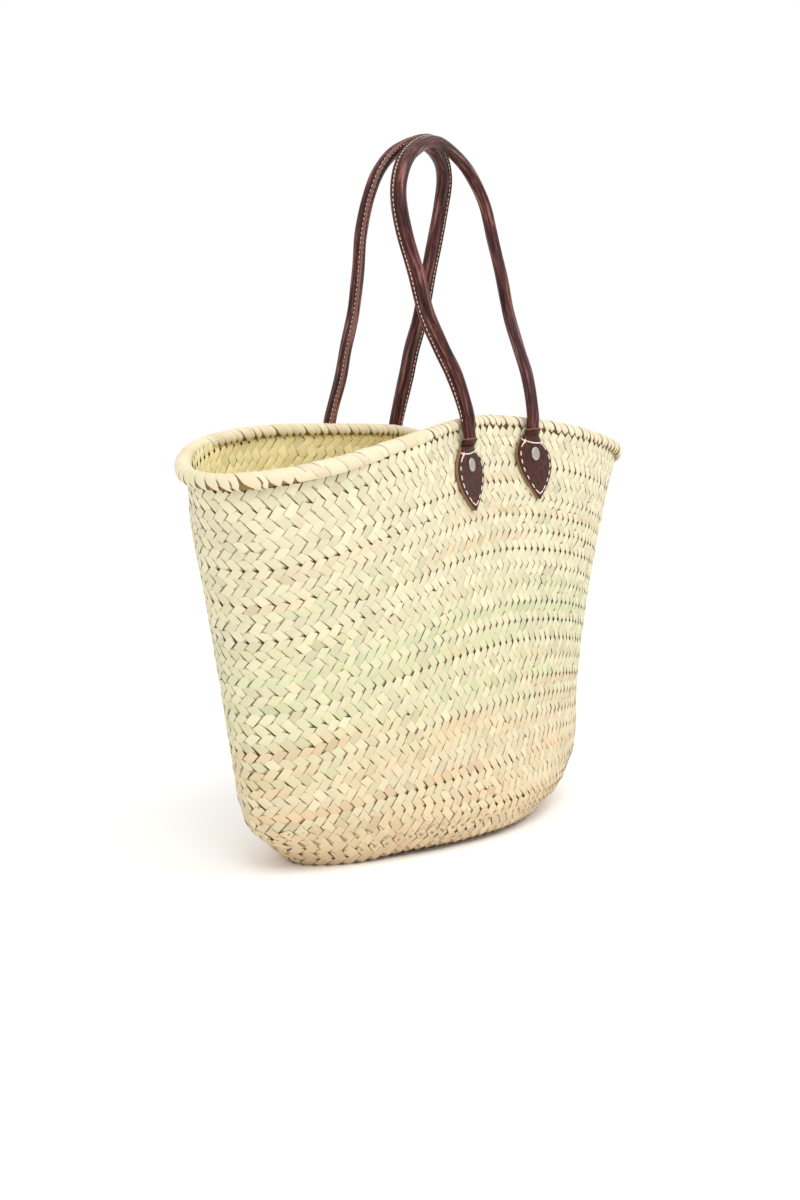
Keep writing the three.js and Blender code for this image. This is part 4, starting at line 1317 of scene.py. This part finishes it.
# %% A rivet through patch, handle and wall
def rivet_piece(name, side, strand):
    point, normal, across = foot_place(side, strand, PATCH_TOP + RIVET_DROP)
    foot = patch_underside(PATCH_TOP + RIVET_DROP, 0, PATCH_WIDTH / 2) + PATCH_THICKNESS
    burr = -WALL - 2 * GAP
    up = np.cross(normal, across)
    profile = ((0.0, burr - BURR_HEIGHT), (BURR_RADIUS * 0.9, burr - BURR_HEIGHT),
               (BURR_RADIUS, burr - BURR_HEIGHT / 2), (BURR_RADIUS, burr),
               (RIVET_SHANK_RADIUS, burr), (RIVET_SHANK_RADIUS, foot),
               (RIVET_HEAD_RADIUS, foot), (RIVET_HEAD_RADIUS, foot + 0.0005),
               (RIVET_HEAD_RADIUS * 0.96, foot + 0.0009), (RIVET_HEAD_RADIUS * 0.7, foot + 0.0012),
               (0.0, foot + RIVET_HEAD_HEIGHT))
    rings = []
    for radius, height in profile:
        rings.append([point + normal * height + across * radius * math.cos(t) + up * radius * math.sin(t)
                      for t in np.linspace(0, 2 * math.pi, AROUND + 1)[:-1]])
    mesh = grid_mesh(name, np.array(rings), wrap_columns=True)
    mesh.materials.append(nickel)
    return new_object(name, mesh)


# %% Both handles, and a patch, a keeper and a rivet at each end
leather_pieces = []
for side, wall in ((-1, "front"), (1, "back")):
    handle = handle_piece("rolled_handle_" + wall, side)
    leather_pieces.append((handle, "handle_" + wall, "handle_leather"))
    sewn = stitches("handle_stitches_" + wall, flange_stitches(side))
    leather_pieces.append((sewn, None, "handle_leather"))
    for strand, end in ((-1, "left"), (1, "right")):
        place = wall + "_" + end
        leather_pieces += [
            (patch_piece("leaf_patch_" + place, side, strand), "patch_" + place, "patch_leather"),
            (stitches("patch_stitches_" + place, patch_stitches(side, strand)), None, "patch_leather"),
            (keeper_piece("keeper_band_" + place, side, strand), "keeper_" + place, "patch_leather"),
            (rivet_piece("domed_rivet_" + place, side, strand), "rivet_" + place, "nickel"),
        ]
for piece, node, slot in leather_pieces:
    if node:
        say_made(piece)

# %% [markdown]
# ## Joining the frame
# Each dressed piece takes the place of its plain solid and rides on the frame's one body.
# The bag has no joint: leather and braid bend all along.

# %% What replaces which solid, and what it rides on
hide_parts("basket_body")
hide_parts("rim_roll")
for piece, slot in ((core, "woven_palm"), (outside, "woven_palm"), (inside, "woven_palm"),
                    (rim, "wrapped_palm"), (windings, "wrapped_palm")):
    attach(piece, "root")

for piece, node, slot in leather_pieces:
    if node:
        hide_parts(node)
    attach(piece, "root")

# %% [markdown]
# ## Floor, light and camera
# A plain white studio: an even white world, a broad lamp from the left front and one from above,
# so that the shadow stays soft and short. The camera stands a little above the rim, to the left
# of the front wall, with a long lens that keeps the sides nearly upright.

# %% The floor and the white world
CAMERA_AZIMUTH = math.radians(-59.27)
CAMERA_HEIGHT = math.radians(6.31)
CAMERA_DISTANCE = 1.753
CAMERA_TARGET = Vector((-0.0294 - CENTRE_X, -CENTRE_Y, 0.1832))
LENS = 66.5
SENSOR = 36
FLOOR = 6  # half its width
FLOOR_LEVEL = -0.0015

floor_mesh = bpy.data.meshes.new("floor")
corners = [(-FLOOR, -FLOOR, 0), (FLOOR, -FLOOR, 0), (FLOOR, FLOOR, 0), (-FLOOR, FLOOR, 0)]
floor_mesh.from_pydata(corners, [], [(0, 1, 2, 3)])
floor = new_object("floor", floor_mesh)
floor.location.z = FLOOR_LEVEL
floor_material, floor_tree, floor_shader = start_material("floor", 0.9)
floor_shader.inputs["Base Color"].default_value = (1, 1, 1, 1)
floor_shader.inputs["Specular IOR Level"].default_value = 0.1
floor_mesh.materials.append(floor_material)

world = bpy.data.worlds.new("studio")
bpy.context.scene.world = world
world.use_nodes = True
world.node_tree.nodes["Background"].inputs["Color"].default_value = (1, 1, 1, 1)
world.node_tree.nodes["Background"].inputs["Strength"].default_value = 1.0


# %% Two broad lamps
LAMP_TARGET = (0, 0, 0.2)


def soft_light(name, place, target, width, power):
    data = bpy.data.lights.new(name, "AREA")
    data.shape = "SQUARE"
    data.size = width
    data.energy = power
    lamp = bpy.data.objects.new(name, data)
    lamp.location = place
    lamp.rotation_euler = (Vector(target) - Vector(place)).to_track_quat("-Z", "Y").to_euler()
    bpy.context.scene.collection.objects.link(lamp)


soft_light("key", (-1.9, -1.4, 2.2), LAMP_TARGET, 1.2, 22)
soft_light("fill", (0.4, -1.6, 2.3), LAMP_TARGET, 1.6, 20)

# %% The camera
camera_data = bpy.data.cameras.new("camera")
camera_data.lens = LENS
camera_data.sensor_width = SENSOR
camera = bpy.data.objects.new("camera", camera_data)
back = Vector((math.sin(CAMERA_AZIMUTH) * math.cos(CAMERA_HEIGHT),
               -math.cos(CAMERA_AZIMUTH) * math.cos(CAMERA_HEIGHT), math.sin(CAMERA_HEIGHT)))
camera.location = CAMERA_TARGET + back * CAMERA_DISTANCE
camera.rotation_euler = back.to_track_quat("Z", "Y").to_euler()
bpy.context.scene.collection.objects.link(camera)
bpy.context.scene.camera = camera
bpy.context.scene.view_settings.view_transform = "Standard"
print("camera", round(CAMERA_DISTANCE, 3), "m from its target, lens", LENS, "mm")
